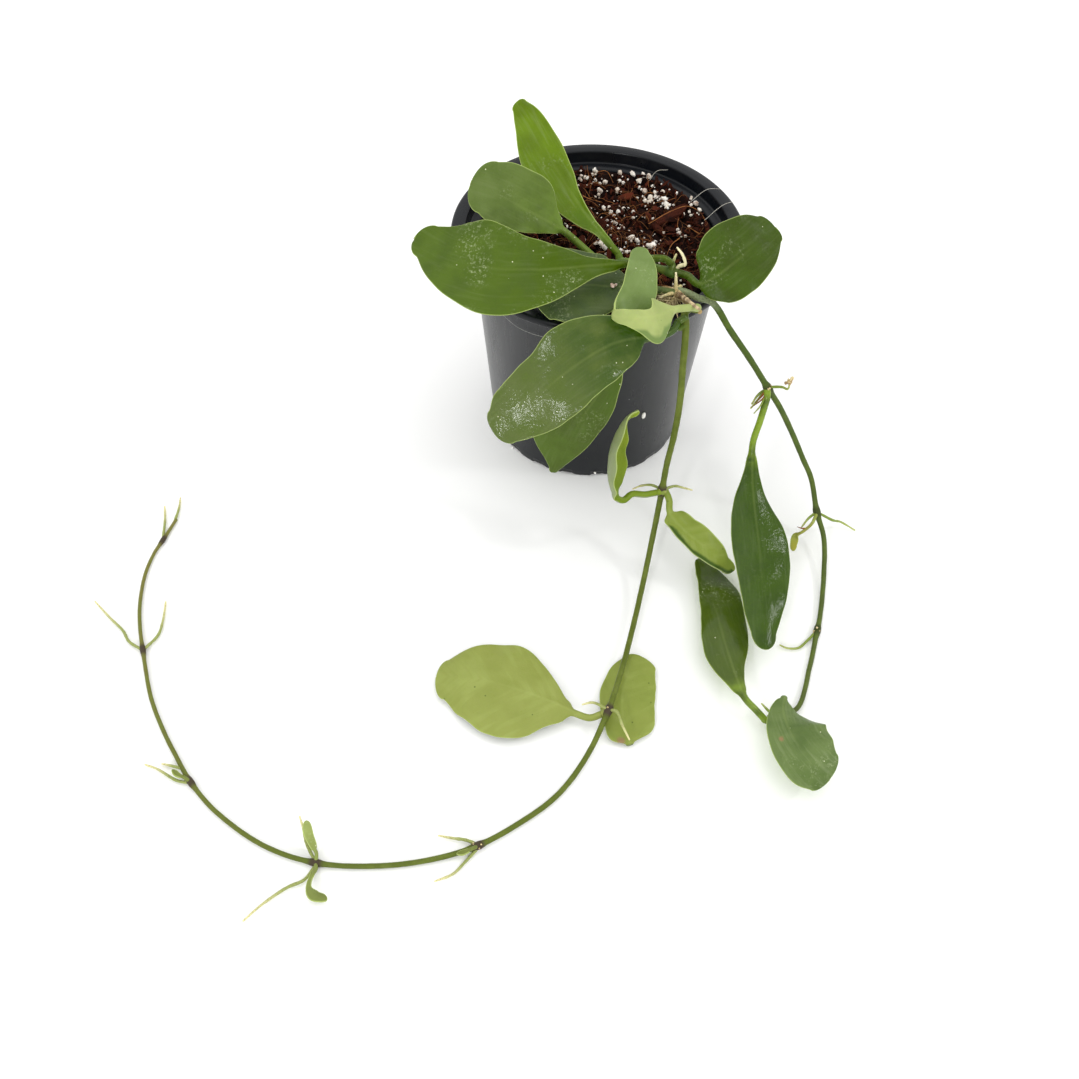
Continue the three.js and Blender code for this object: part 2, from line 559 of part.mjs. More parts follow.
// Every leaf, from the crown outwards. The half widths are in millimetres.
const LEAVES = {
  leaf_upright: {
    finish: 'leafLight',
    rib: [[6.2, -20, 97.4], [2.1, -16.1, 99.8], [-5.1, -6.3, 103], [-12.4, 3.9, 108],
      [-19.7, 14.2, 115], [-26, 22.7, 122], [-30.2, 26.6, 126]],
    bladeFrom: 0.04,
    face: [[0.1, -0.75, 0.66]],
    outline: [[0, 1.5, 1.5], [0.1, 1.6, 1.6], [0.16, 2.9, 1.6], [0.2, 4.2, 1.6], [0.3, 6.8, 2],
      [0.4, 9.3, 3.1], [0.55, 11.8, 5.2], [0.7, 10.6, 5.8], [0.82, 7.8, 5.4], [0.92, 5.4, 3.8],
      [0.97, 3.6, 2.6]],
    cup: 24,
  },
  leaf_round: {
    finish: 'leafDark',
    rib: [[4.4, -22.6, 95], [0, -21.8, 95], [-3.5, -19.3, 96.5], [-8.9, -17.4, 100.5],
      [-13.5, -17.7, 105], [-24.7, -17.7, 112], [-34.9, -14.8, 116], [-45.3, -10.4, 117]],
    bladeFrom: 0.38,
    face: [[-0.1, -0.6, 0.8]],
    outline: [[0, 1.6, 1.6], [0.12, 3.4, 4.8], [0.25, 5.4, 10.2], [0.4, 7.8, 12.5], [0.55, 9.6, 12.2],
      [0.7, 9.7, 11.6], [0.82, 8, 10.2]],
    cup: 8,
  },
  leaf_left: {
    finish: 'leafDark',
    rib: [[23.6, -31.6, 102.6], [21.2, -31.4, 104.4], [15.3, -32.3, 105], [8.4, -36.2, 106],
      [-4.4, -40.4, 108], [-20.8, -45.4, 110], [-37, -46.2, 111], [-50.4, -40.3, 110],
      [-63.4, -28.7, 108]],
    bladeFrom: 0.19,
    face: [[0, -0.5, 0.87]],
    outline: [[0, 1.7, 1.6], [0.12, 3.6, 2.8], [0.25, 7.6, 6.2], [0.4, 13, 10.5],
      [0.55, 15.9, 14.6], [0.7, 13.3, 14.8], [0.84, 8.2, 11.5], [0.93, 4.6, 7.5]],
    cup: 10,
    wave: 0.8,
  },
  leaf_under: {
    finish: 'leafDark',
    rib: [[20.2, -40.8, 98.8], [17.2, -40.5, 99.2], [12.8, -40.6, 99.5], [2.7, -41, 100],
      [-9, -40.9, 100], [-19.1, -41.6, 99.5], [-24.1, -42.7, 99]],
    bladeFrom: 0.21,
    face: [[0, -0.2, 0.98]],
    outline: [[0, 1.8, 1.8], [0.12, 6.5, 7], [0.25, 10.8, 11.5], [0.4, 14.6, 13.8],
      [0.55, 15.8, 15], [0.7, 15.2, 15], [0.82, 13.6, 13.6]],
    cup: 5,
  },
  leaf_rolled: {
    finish: 'leafUnder',
    rib: [[28.9, -50.9, 100.4], [22.9, -55.1, 103], [17.7, -61.3, 105.8], [13.6, -64.2, 107.4],
      [9, -65.9, 108.6], [5.2, -65.8, 108.8], [3, -63.6, 107.4], [3.9, -58.4, 106],
      [6.5, -52.5, 106], [9.9, -45.8, 107.5], [12, -39.6, 109], [11.8, -33.1, 110]],
    bladeFrom: 0.1,
    face: [[0, 0.6, -0.8], [0, 0.6, -0.8], [0, 0.6, -0.8], [0.1, 0.6, -0.8], [0.6, 0.5, -0.5],
      [0.9, -0.3, 0.2], [0.3, -0.6, 0.7], [0, -0.6, 0.8], [0, -0.6, 0.8], [0, -0.6, 0.8]],
    outline: [[0, 1.6, 1.6], [0.06, 3.2, 2.2], [0.11, 6.2, 3.4], [0.15, 6.2, 5.4], [0.2, 3.2, 8.4],
      [0.24, 2.6, 8.2], [0.3, 2.6, 4.6], [0.36, 2.6, 2.8], [0.41, 2.5, 2.2], [0.45, 2.2, 1.4],
      [0.52, 1.6, 2.4], [0.61, 1.8, 9], [0.72, 2.6, 9.6], [0.82, 3.8, 7.6], [0.9, 4.2, 5.2],
      [0.96, 3.4, 3.8]],
    cup: 6,
    wave: 0.2,
    stations: 18,
  },
  leaf_front: {
    finish: 'leafDark',
    rib: [[25, -53.2, 95.8], [23.8, -55.8, 95.4], [20.3, -58.9, 95.5], [14, -60.1, 95.5],
      [4.2, -61.6, 94], [-5.4, -64.6, 89], [-15.1, -69, 83], [-24.9, -75.4, 76],
      [-34.6, -81, 69]],
    bladeFrom: 0.18,
    face: [[0, -0.7, 0.7]],
    outline: [[0, 4.4, 3.6], [0.05, 6.2, 5.4], [0.12, 9, 8], [0.25, 11, 12], [0.4, 12, 14.2],
      [0.55, 12.9, 12.1], [0.7, 12.2, 11.4], [0.84, 8.8, 10.4], [0.93, 6, 7.8]],
    cup: 8,
    wave: 0.9,
    waves: 2.5,
  },
  leaf_front_low: {
    finish: 'leafDark',
    rib: [[25.2, -52.2, 92.8], [20.4, -53.9, 91.5], [13.3, -55, 88.7], [7.6, -57, 82],
      [3.4, -58, 73.5], [-2.4, -59, 61], [-8.6, -61.4, 47], [-14.8, -64.5, 31]],
    bladeFrom: 0.2,
    face: [[0, -0.8, 0.6]],
    outline: [[0, 1.6, 1.6], [0.12, 2.4, 3.6], [0.25, 5, 7.4], [0.4, 7.8, 11], [0.55, 8.4, 13.6],
      [0.68, 7.4, 15], [0.77, 6.4, 14.4], [0.85, 4.7, 10.6], [0.92, 3, 5.2], [0.97, 1.7, 2]],
    cup: 8,
  },
  leaf_right: {
    finish: 'leafDark',
    rib: [[26.2, -33.4, 100.4], [29.1, -35.7, 101], [32.4, -40.4, 101.5], [37.1, -40.9, 105],
      [45.2, -35.9, 109], [52.2, -30, 112], [57.4, -24.6, 113]],
    bladeFrom: 0.22,
    face: [[0, -0.65, 0.75]],
    outline: [[0, 2.6, 2.6], [0.12, 9, 8], [0.25, 12, 11], [0.4, 13.4, 11.5], [0.55, 13.2, 10.8],
      [0.7, 11.4, 9.6], [0.84, 9, 7.4], [0.93, 6.4, 5]],
    cup: 6,
  },
  leaf_folded: {
    finish: 'leafUnder',
    rib: [[24.2, -73.3, 31], [19.6, -74.4, 31], [14.8, -74.3, 31], [11.7, -77.2, 31],
      [9, -77.9, 33], [6.4, -74.2, 40], [5.9, -70.1, 48], [8, -66.2, 56], [11.2, -63.5, 61],
      [14.9, -62.2, 63]],
    bladeFrom: 0.3,
    face: [[0.3, 0.3, 0.9], [0.9, -0.2, 0.4], [0.95, -0.2, 0.1]],
    outline: [[0, 1.6, 1.6], [0.15, 6, 6], [0.35, 8.5, 8.5], [0.6, 7.4, 7.4], [0.75, 4.6, 4.6],
      [0.86, 2.4, 2.4], [0.94, 1.4, 1.4]],
    cup: 62,
    stations: 14,
  },
  leaf_hanging: {
    finish: 'leafUnder',
    rib: [[28, -74.4, 29.8], [29.2, -77, 28.8], [28.5, -79.4, 26], [34.1, -83.6, 23],
      [41.4, -88.3, 19], [48.4, -92.2, 15], [54.1, -94.3, 11]],
    bladeFrom: 0.2,
    face: [[0.3, 0.3, -0.9]],
    outline: [[0, 2, 2], [0.12, 3.3, 4.3], [0.25, 4.3, 5.8], [0.4, 5, 6.8], [0.55, 5, 6.8],
      [0.7, 4.4, 5.6], [0.85, 3, 4]],
    cup: -35,
  },
  leaf_flat: {
    finish: 'leafUnder',
    rib: [[3.6, -151.6, 5.2], [-0.4, -152.6, 4.2], [-4.9, -151.2, 4], [-16.1, -146.5, 5],
      [-28.5, -142.1, 5], [-42.9, -138, 4], [-55.2, -137.2, 2.4]],
    bladeFrom: 0.16,
    face: [[0, 0, -1]],
    outline: [[0, 1.8, 2.4], [0.12, 5, 8.5], [0.25, 10.3, 15], [0.4, 16, 18.5], [0.55, 17.6, 18.4],
      [0.7, 15.6, 16], [0.84, 11, 13], [0.93, 7.6, 8.6]],
    cup: 8,
    wave: 0.6,
    waves: 3.5,
  },
  leaf_notched: {
    finish: 'leafUnder',
    rib: [[13.3, -161.4, 2.2], [11.8, -155.6, 2.2], [11, -149.2, 2.2], [11.5, -141.8, 2.2],
      [14, -134.6, 2.3], [18.1, -126.6, 2.6]],
    bladeFrom: 0.001,
    face: [[0, 0, -1]],
    outline: [[0, 3.2, 2.6], [0.04, 6.6, 4], [0.1, 9.6, 6.2], [0.25, 11.2, 6.8], [0.4, 11.6, 7.8],
      [0.55, 11.6, 8], [0.7, 10.9, 7.4], [0.82, 9.4, 6.2], [0.92, 7.6, 4.6]],
    cup: 4,
    wave: 0.3,
  },
  leaf_long: {
    finish: 'leafDark',
    rib: [[62, -51.8, 59.4], [60.8, -54.8, 51], [59.4, -58.1, 42], [59.6, -64.8, 35],
      [60.3, -74.3, 29], [61.5, -89.9, 23], [61.8, -110.2, 18], [61.4, -129, 12.6]],
    bladeFrom: 0.21,
    face: [[0.1, -0.3, 0.95]],
    outline: [[0, 1.6, 1.6], [0.12, 2.8, 3.2], [0.25, 5.6, 7.4], [0.4, 10.6, 9.8],
      [0.55, 12, 9.4], [0.7, 10, 8.2], [0.82, 7.2, 6.8], [0.92, 4.6, 4.8]],
    cup: -10,
  },
  leaf_beneath: {
    finish: 'leafDark',
    rib: [[60.6, -152.1, 4], [57.2, -149.2, 6], [53.5, -145.4, 7.5], [50.6, -135.6, 8],
      [48.2, -122.5, 8], [46.1, -107, 7], [43.8, -93.7, 5], [42.1, -83.9, 3.6]],
    bladeFrom: 0.14,
    face: [[0, 0, 1]],
    outline: [[0, 1.6, 1.6], [0.12, 4.7, 3], [0.25, 7.6, 6.4], [0.4, 7.9, 9.6], [0.55, 5.9, 10.4],
      [0.7, 4.3, 11], [0.82, 3, 9.2], [0.92, 1.9, 5.7]],
    cup: -6,
  },
  leaf_end: {
    finish: 'leafDark',
    rib: [[67.1, -145.2, 7.8], [65.6, -151.5, 9.8], [66, -158.8, 11.8], [68.1, -165.4, 12.6],
      [71.6, -170.8, 12.4], [77.8, -175.9, 9.8]],
    bladeFrom: 0.001,
    face: [[0.1, -0.35, 0.93]],
    outline: [[0, 1.2, 1.4], [0.05, 2.4, 2.4], [0.14, 5.4, 4], [0.25, 11, 5.8], [0.32, 13, 6.8],
      [0.4, 13.4, 7.5], [0.55, 12.5, 8.6], [0.7, 11.6, 9.2], [0.82, 10.6, 8.8], [0.92, 8.6, 7]],
    cup: -8,
  },
};

// Small young leaves at the far knots.
const YOUNG_LEAVES = {
  bud_leaf_first: {
    rib: [[-39.2, -199.3, 3.6], [-41.4, -200.5, 3.8], [-43.6, -200.9, 3.6]],
    outline: [[0, 0.7, 0.7], [0.5, 1, 1]],
  },
  bud_leaf_upper: {
    rib: [[-88.3, -201.4, 3.3], [-89.4, -199.6, 4.6], [-91, -196.4, 6.2], [-92.4, -192.2, 7]],
    outline: [[0, 0.9, 0.9], [0.3, 1.4, 1.4], [0.6, 1.6, 1.6]],
  },
  bud_leaf_lower: {
    rib: [[-87.8, -206.6, 3], [-89, -209.4, 3.2], [-89.2, -212.4, 3.2], [-87.2, -214.9, 3],
      [-83, -215.7, 2.2]],
    outline: [[0, 0.8, 0.8], [0.35, 0.9, 0.9], [0.6, 2, 1.6], [0.8, 1.8, 1.2]],
  },
  bud_leaf_far: {
    rib: [[-136.4, -176.8, 3.2], [-138.6, -176, 3.6], [-140.5, -174.7, 3.9]],
    outline: [[0, 0.7, 0.7], [0.5, 1, 1]],
  },
  bud_leaf_yellow: {
    rib: [[81.6, -76.2, 11.7], [79.8, -76.8, 10.6], [79.2, -78.7, 9], [78.9, -81.6, 7]],
    outline: [[0, 0.8, 0.8], [0.4, 1.5, 1.5], [0.7, 1.4, 1.4]],
  },
};
const YOUNG_LEAF = {
  bladeFrom: 0.1, face: [[0.1, 0.1, 1]], cup: 12, wave: 0, petiole: 0.6, thickness: 0.9,
  stations: 5, columns: 4,
};

// ---- Assembly --------------------------------------------------------------------------------

const plant = new THREE.Group();

function place(name, body, finish) {
  const material = new THREE.MeshStandardMaterial(FINISHES[finish]);
  const mesh = new THREE.Mesh(geometryOf(body), material);
  mesh.name = name;
  plant.add(mesh);
}

const stemSpot = ({ route, from }) => ({ x: route[0][0], y: route[0][1], radius: from });

place('pot', pot(), 'pot');
place('soil', soil([stemSpot(CROWN), stemSpot(BACK_SHOOT)]), 'soil');
place('stem_crown', joined([stem(CROWN), ...CROWN_ROOTS.map((r) => root(r, 0.6))]), 'woody');
place('stem_back', stem(BACK_SHOOT), 'stem');
place('runner_long',
  joined([stem(LONG_RUNNER), ...LONG_RUNNER_ROOTS.map((route) => root(route))]), 'stem');
place('runner_short',
  joined([stem(SHORT_RUNNER), ...SHORT_RUNNER_ROOTS.map((route) => root(route))]), 'stem');
place('aerial_root', root(LOOSE_ROOT, 0.7), 'root');
for (const [name, shape] of Object.entries(LEAVES)) {
  place(name, leaf(shape), shape.finish);
}
for (const [name, shape] of Object.entries(YOUNG_LEAVES)) {
  place(name, leaf({ ...YOUNG_LEAF, ...shape }), 'leafYoung');
}

export default plant;
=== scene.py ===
"""A trailing hoya in a black moulded nursery pot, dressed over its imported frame.

Sizes are written in millimetres and turned to metres when a mesh is made. +Z is up, the origin is
the middle of the pot's base, and both runners trail towards -Y.
"""
import logging
import math
from dataclasses import dataclass, field
from enum import Enum
from functools import reduce
from typing import Any, Iterable, Protocol, Sequence

import bpy
import numpy as np
from mathutils import Matrix


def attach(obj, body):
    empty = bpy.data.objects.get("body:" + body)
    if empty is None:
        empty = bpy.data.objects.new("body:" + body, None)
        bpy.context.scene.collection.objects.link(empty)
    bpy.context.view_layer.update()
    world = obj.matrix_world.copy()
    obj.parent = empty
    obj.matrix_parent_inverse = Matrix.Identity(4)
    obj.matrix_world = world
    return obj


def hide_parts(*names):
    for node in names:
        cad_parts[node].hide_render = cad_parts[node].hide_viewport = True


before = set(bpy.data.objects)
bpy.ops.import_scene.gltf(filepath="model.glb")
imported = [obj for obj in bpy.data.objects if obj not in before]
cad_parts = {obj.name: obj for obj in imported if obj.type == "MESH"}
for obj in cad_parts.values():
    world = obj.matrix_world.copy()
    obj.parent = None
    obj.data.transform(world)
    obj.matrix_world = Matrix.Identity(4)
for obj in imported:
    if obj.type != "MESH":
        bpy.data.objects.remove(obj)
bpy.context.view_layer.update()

LOG = logging.getLogger("hoya")
MM = 0.001
# Where the rings of a tube's domed end lie, from its pole down.
DOME_DEGREES = (72.0, 45.0, 20.0)
Point = tuple[float, float, float]


class Slot(Enum):
    """The record's material slots."""

    POT = "pot_plastic"
    SOIL = "soil_mix"
    WOODY = "woody_stem"
    STEM = "green_stem"
    ROOT = "root_skin"
    MATURE = "leaf_mature"
    FRESH = "leaf_fresh"
    PALE = "leaf_pale"
    YOUNG = "leaf_young"


# ---- Small mathematics ------------------------------------------------------------------------

def smoothstep(low: float, high: float, x: np.ndarray) -> np.ndarray:
    """Eases from 0 at low to 1 at high: t squared times (3 - 2t).

    Args:
        low: Where the step starts.
        high: Where the step ends.
        x: Values to ease.

    Returns:
        Values from 0 to 1.
    """
    t = np.clip((np.asarray(x, float) - low) / (high - low), 0, 1)
    return t * t * (3 - 2 * t)


def unit(vectors: np.ndarray) -> np.ndarray:
    """Vectors over their own lengths, along the last axis."""
    return vectors / np.linalg.norm(vectors, axis=-1, keepdims=True)


def around(count: int) -> np.ndarray:
    """Even angles once round a circle."""
    return np.linspace(0, 2 * math.pi, count, endpoint=False)


def turned(radius: np.ndarray, angle: np.ndarray, height: np.ndarray) -> np.ndarray:
    """Points (r cos a, r sin a, z), with the three inputs spread over one grid."""
    x, y = radius * np.cos(angle), radius * np.sin(angle)
    return np.stack(np.broadcast_arrays(x, y, height), -1)


def smooth_rows(rows: np.ndarray, x: np.ndarray, column: np.ndarray) -> np.ndarray:
    """Reads a table as smooth curves: cubic Hermite pieces with slopes from both neighbours.

    Args:
        rows: Table with the position in its first column.
        x: Positions to read.
        column: Which column to read at each position.

    Returns:
        The curve's value at each position.
    """
    at = rows[:, 0]
    slopes = np.empty_like(rows)
    slopes[1:-1] = (rows[2:] - rows[:-2]) / (at[2:] - at[:-2])[:, None]
    slopes[0] = (rows[1] - rows[0]) / (at[1] - at[0])
    slopes[-1] = (rows[-1] - rows[-2]) / (at[-1] - at[-2])
    x = np.clip(x, at[0], at[-1])
    i = np.clip(np.searchsorted(at, x, side="right") - 1, 0, len(at) - 2)
    span = at[i + 1] - at[i]
    t = (x - at[i]) / span
    a, b = rows[i, column], rows[i + 1, column]
    ma, mb = slopes[i, column] * span, slopes[i + 1, column] * span
    return ((2 * t**3 - 3 * t**2 + 1) * a + (t**3 - 2 * t**2 + t) * ma
            + (3 * t**2 - 2 * t**3) * b + (t**3 - t**2) * mb)


def wander(rng: np.random.Generator, a: np.ndarray, b: np.ndarray, waves: int) -> np.ndarray:
    """A smooth uneven field over (a, b): a sum of seeded plane waves, each
    sin(fa a + fb b + phase) over the square root of their number.

    Args:
        rng: Seeded source.
        a: First coordinate, where one unit is about one bump.
        b: Second coordinate, on the same scale.
        waves: How many plane waves to add.

    Returns:
        Heights of about -1 to 1, in the shape of a and b.
    """
    angle = rng.uniform(0, 2 * math.pi, waves)
    rate = rng.uniform(2, 5, waves)
    phase = rng.uniform(0, 2 * math.pi, waves)
    a, b = np.broadcast_arrays(a, b)
    turn = a[..., None] * rate * np.cos(angle) + b[..., None] * rate * np.sin(angle) + phase
    return np.sin(turn).sum(-1) / math.sqrt(waves)


@dataclass(frozen=True)
class Spline:
    """A smooth curve through points: centripetal cubic pieces, with the end points carried on in
    a straight line. Read by the fraction of its length."""

    points: Sequence[Point]

    def _piecewise(self, t: np.ndarray) -> np.ndarray:
        """Points at shares t of the number of pieces: on each piece the cubic
        c0 + c1 w + c2 w^2 + c3 w^3, whose end slopes come from the square roots of the spans."""
        p = np.asarray(self.points, float)
        q = np.vstack([2 * p[0] - p[1], p, 2 * p[-1] - p[-2]])
        place = np.clip(t, 0, 1) * (len(p) - 1)
        i = np.clip(np.floor(place).astype(int), 0, len(p) - 2)
        w = (place - i)[:, None]
        p0, p1, p2, p3 = q[i], q[i + 1], q[i + 2], q[i + 3]
        d0, d1, d2 = (np.maximum(np.linalg.norm(v - u, axis=1, keepdims=True), 1e-8) ** 0.5
                      for u, v in ((p0, p1), (p1, p2), (p2, p3)))
        m1 = ((p1 - p0) / d0 - (p2 - p0) / (d0 + d1) + (p2 - p1) / d1) * d1
        m2 = ((p2 - p1) / d1 - (p3 - p1) / (d1 + d2) + (p3 - p2) / d2) * d1
        c2 = -3 * p1 + 3 * p2 - 2 * m1 - m2
        c3 = 2 * p1 - 2 * p2 + m1 + m2
        return p1 + m1 * w + c2 * w**2 + c3 * w**3

    def _shares(self, s: np.ndarray) -> tuple[np.ndarray, float]:
        """Shares of the pieces at fractions s of the length, and the length."""
        t = np.linspace(0, 1, 401)
        steps = np.linalg.norm(np.diff(self._piecewise(t), axis=0), axis=1)
        run = np.concatenate([[0.0], np.cumsum(steps)])
        return np.interp(s, run / run[-1], t), float(run[-1])

    def length(self) -> float:
        """Length of the curve in millimetres."""
        return self._shares(np.zeros(1))[1]

    def at(self, s: np.ndarray) -> np.ndarray:
        """Points at fractions s of the length."""
        return self._piecewise(self._shares(np.asarray(s, float))[0])

    def heading(self, s: np.ndarray) -> np.ndarray:
        """Unit tangents at fractions s of the length."""
        t = self._shares(np.asarray(s, float))[0]
        step = 1e-4
        return unit(self._piecewise(t + step) - self._piecewise(t - step))

    def nearest(self, point: Point) -> float:
        """Fraction of the length that is nearest to a point."""
        s = np.linspace(0, 1, 2001)
        return float(s[np.linalg.norm(self.at(s) - np.array(point), axis=1).argmin()])


# ---- Bare surfaces ----------------------------------------------------------------------------

@dataclass
class Patch:
    """A bare surface: points in millimetres, the corners of its quads and triangles, and named
    values that its points carry."""

    points: np.ndarray
    quads: np.ndarray
    triangles: np.ndarray
    marks: dict[str, np.ndarray] = field(default_factory=dict)

    def volume(self) -> float:
        """Signed volume: one sixth of a . (b x c), summed over the triangles."""
        faces = np.vstack([self.triangles, self.quads[:, [0, 1, 2]], self.quads[:, [0, 2, 3]]])
        a, b, c = (self.points[faces[:, k]] for k in range(3))
        return float(np.einsum("ij,ij->", a, np.cross(b, c)) / 6)

    def facing_out(self) -> "Patch":
        """The same closed surface with its faces turned outwards."""
        if self.volume() < 0:
            self.quads = self.quads[:, ::-1]
            self.triangles = self.triangles[:, ::-1]
        return self


def joined(patches: Iterable[Patch]) -> Patch:
    """Several surfaces as one, each mark filled with zeros where a surface lacks it."""
    patches = list(patches)
    starts = np.cumsum([0] + [len(p.points) for p in patches])
    names = sorted({name for p in patches for name in p.marks})
    marks = {}
    for name in names:
        like = next(p.marks[name] for p in patches if name in p.marks)
        marks[name] = np.concatenate([
            p.marks.get(name, np.zeros((len(p.points),) + like.shape[1:])) for p in patches])
    return Patch(np.vstack([p.points for p in patches]),
                 np.vstack([p.quads + start for p, start in zip(patches, starts)]),
                 np.vstack([p.triangles + start for p, start in zip(patches, starts)]),
                 marks)


def loft(rings: np.ndarray, marks: dict[str, np.ndarray] | None = None) -> Patch:
    """Skins a grid of rings. Quad (i, j) joins ring i to ring i + 1 between columns j and j + 1,
    and a fan of triangles to a middle point closes each end.

    Args:
        rings: Points of shape (rings, columns, 3), where each ring is a closed loop.
        marks: Values of shape (rings, columns, ...) to carry along.

    Returns:
        The closed surface, facing outwards.
    """
    n, m = rings.shape[:2]
    i, j = np.meshgrid(np.arange(n - 1), np.arange(m), indexing="ij")
    ahead, on = (i + 1) * m, (j + 1) % m
    quads = np.stack([i * m + j, ahead + j, ahead + on, i * m + on], -1).reshape(-1, 4)
    here, beside = np.arange(m), (np.arange(m) + 1) % m
    first = np.stack([np.full(m, n * m), here, beside], -1)
    last = np.stack([np.full(m, n * m + 1), (n - 1) * m + beside, (n - 1) * m + here], -1)

    def listed(grid: np.ndarray) -> np.ndarray:
        """A grid's values in one row, and then the middle of each end."""
        flat = grid.reshape((n * m,) + grid.shape[2:])
        return np.concatenate([flat, grid[0].mean(0)[None], grid[-1].mean(0)[None]])

    return Patch(listed(rings), quads, np.vstack([first, last]),
                 {name: listed(grid) for name, grid in (marks or {}).items()}).facing_out()


def tube(curve: Spline, s: np.ndarray, radius: np.ndarray, sides: int,
         marks: dict[str, np.ndarray] | None = None, uneven: np.ndarray | None = None) -> Patch:
    """A round tube with domed ends. Each ring is middle + r (cos a N + sin a B), where N and B
    lie across the curve, and each end adds rings of radius r cos q pushed out by r sin q.

    Args:
        curve: Middle line.
        s: Fractions of its length, in order.
        radius: Radius at each fraction.
        sides: Points round the tube.
        marks: Values at each fraction, of shape (len(s),).
        uneven: Factors on the radius, of shape (len(s), sides).

    Returns:
        The closed surface.
    """
    middle, along = curve.at(s), curve.heading(s)
    guides = np.array([[0.8, 0, 0.6], [0.1, 0.2, 1.0], [0, 1, 0.2], [1, 0.1, 0]])
    guide = unit(guides)[np.abs(along @ unit(guides).T).max(0).argmin()]
    normal = unit(np.cross(along, guide))
    binormal = np.cross(along, normal)
    angle = around(sides)[None, :, None]
    round_ = np.cos(angle) * normal[:, None] + np.sin(angle) * binormal[:, None]
    reach = radius[:, None] * (np.ones((len(s), sides)) if uneven is None else uneven)
    rings = middle[:, None] + reach[..., None] * round_
    dome = np.radians(DOME_DEGREES)[:, None, None]
    before = (middle[0] + np.cos(dome) * (rings[0] - middle[0])
              - np.sin(dome) * radius[0] * along[0])
    after = (middle[-1] + np.cos(dome[::-1]) * (rings[-1] - middle[-1])
             + np.sin(dome[::-1]) * radius[-1] * along[-1])
    carried = {name: np.repeat(np.pad(value, len(dome), "edge")[:, None], sides, axis=1)
               for name, value in (marks or {}).items()}
    return loft(np.concatenate([before, rings, after]), carried)


def thread(route: Sequence[Point], radius: float, sides: int, tone: float | np.ndarray,
           steps: int, taper: float = 0.0) -> Patch:
    """A tube whose radius falls off as 1 - taper s, with the mark "tone".

    Args:
        route: Points of its middle line.
        radius: Radius at its start.
        sides: Points round it.
        tone: Tone all along it, or at each step.
        steps: Rings along it.
        taper: Share of the radius that is lost at its end.

    Returns:
        The closed surface.
    """
    s = np.linspace(0, 1, steps)
    return tube(Spline(route), s, radius * (1 - taper * s), sides, {"tone": tone + 0 * s})


def turned_about(normals: np.ndarray, spins: np.ndarray) -> np.ndarray:
    """Rotation matrices that take +Z to each normal, after a spin about +Z.

    Args:
        normals: Unit vectors of shape (k, 3).
        spins: Angles in radians of shape (k,).

    Returns:
        Matrices of shape (k, 3, 3), whose columns are the turned axes.
    """
    helper = np.where(np.abs(normals[:, :1]) < 0.9, [[1.0, 0, 0]], [[0, 1.0, 0]])
    side = unit(np.cross(helper, normals))
    other = np.cross(normals, side)
    c, s = np.cos(spins)[:, None], np.sin(spins)[:, None]
    return np.stack([c * side + s * other, c * other - s * side, normals], -1)


def scattered(shape: Patch, places: np.ndarray, turns: np.ndarray, sizes: np.ndarray,
              rng: np.random.Generator, rough: float) -> Patch:
    """Many copies of one small shape: place + turn (size * point * (1 + rough * noise)).

    Args:
        shape: Template of about one unit in radius.
        places: Where each copy stands, (k, 3).
        turns: How each copy is turned, (k, 3, 3).
        sizes: Its three half sizes, (k, 3).
        rng: Seeded source for the noise.
        rough: How uneven each copy is.

    Returns:
        One surface that holds them all, with the mark "tone", one value for each copy.
    """
    k, n = len(places), len(shape.points)
    noise = 1 + rough * rng.uniform(-1, 1, (k, n, 1))
    local = shape.points[None] * noise * sizes[:, None]
    points = np.einsum("kij,knj->kni", turns, local) + places[:, None]
    steps = (np.arange(k) * n)[:, None, None]
    return Patch(points.reshape(-1, 3),
                 (shape.quads[None] + steps).reshape(-1, 4),
                 (shape.triangles[None] + steps).reshape(-1, 3),
                 {"tone": np.repeat(rng.uniform(0, 1, k), n)})


def lump(levels: int, sides: int, square: float) -> Patch:
    """A small closed lump of radius 1: rings at heights cos q with radii sin q to the power
    1 / square, so that a high power gives a flatter cake.

    Args:
        levels: Rings between the poles.
        sides: Points in each ring.
        square: How square the profile is, with 1 for round.

    Returns:
        The lump.
    """
    q = np.linspace(0, math.pi, levels + 2)[1:-1]
    return loft(turned(np.sin(q)[:, None] ** (1 / square), around(sides), np.cos(q)[:, None]))


def mesh_of(name: str, patch: Patch, smooth: bool = True) -> bpy.types.Object:
    """Puts a surface into a Blender mesh, in metres.

    Args:
        name: Name of the object.
        patch: Surface in millimetres.
        smooth: Whether its faces are shaded smooth.

    Returns:
        The object, linked to the scene.
    """
    mesh = bpy.data.meshes.new(name)
    count = len(patch.quads) + len(patch.triangles)
    corners = np.concatenate([patch.quads.ravel(), patch.triangles.ravel()])
    sizes = np.concatenate([np.full(len(patch.quads), 4), np.full(len(patch.triangles), 3)])
    mesh.vertices.add(len(patch.points))
    mesh.loops.add(len(corners))
    mesh.polygons.add(count)
    mesh.vertices.foreach_set("co", (patch.points * MM).astype(np.float32).ravel())
    mesh.loops.foreach_set("vertex_index", corners.astype(np.int32))
    starts = np.concatenate([[0], np.cumsum(sizes)[:-1]])
    mesh.polygons.foreach_set("loop_start", starts.astype(np.int32))
    mesh.polygons.foreach_set("use_smooth", np.full(count, smooth))
    for mark, values in patch.marks.items():
        kind, key = ("FLOAT_VECTOR", "vector") if values.ndim == 2 else ("FLOAT", "value")
        layer = mesh.attributes.new(mark, kind, "POINT")
        layer.data.foreach_set(key, values.astype(np.float32).ravel())
    mesh.update(calc_edges=True)
    mesh.validate()
    made = bpy.data.objects.new(name, mesh)
    bpy.context.scene.collection.objects.link(made)
    return made


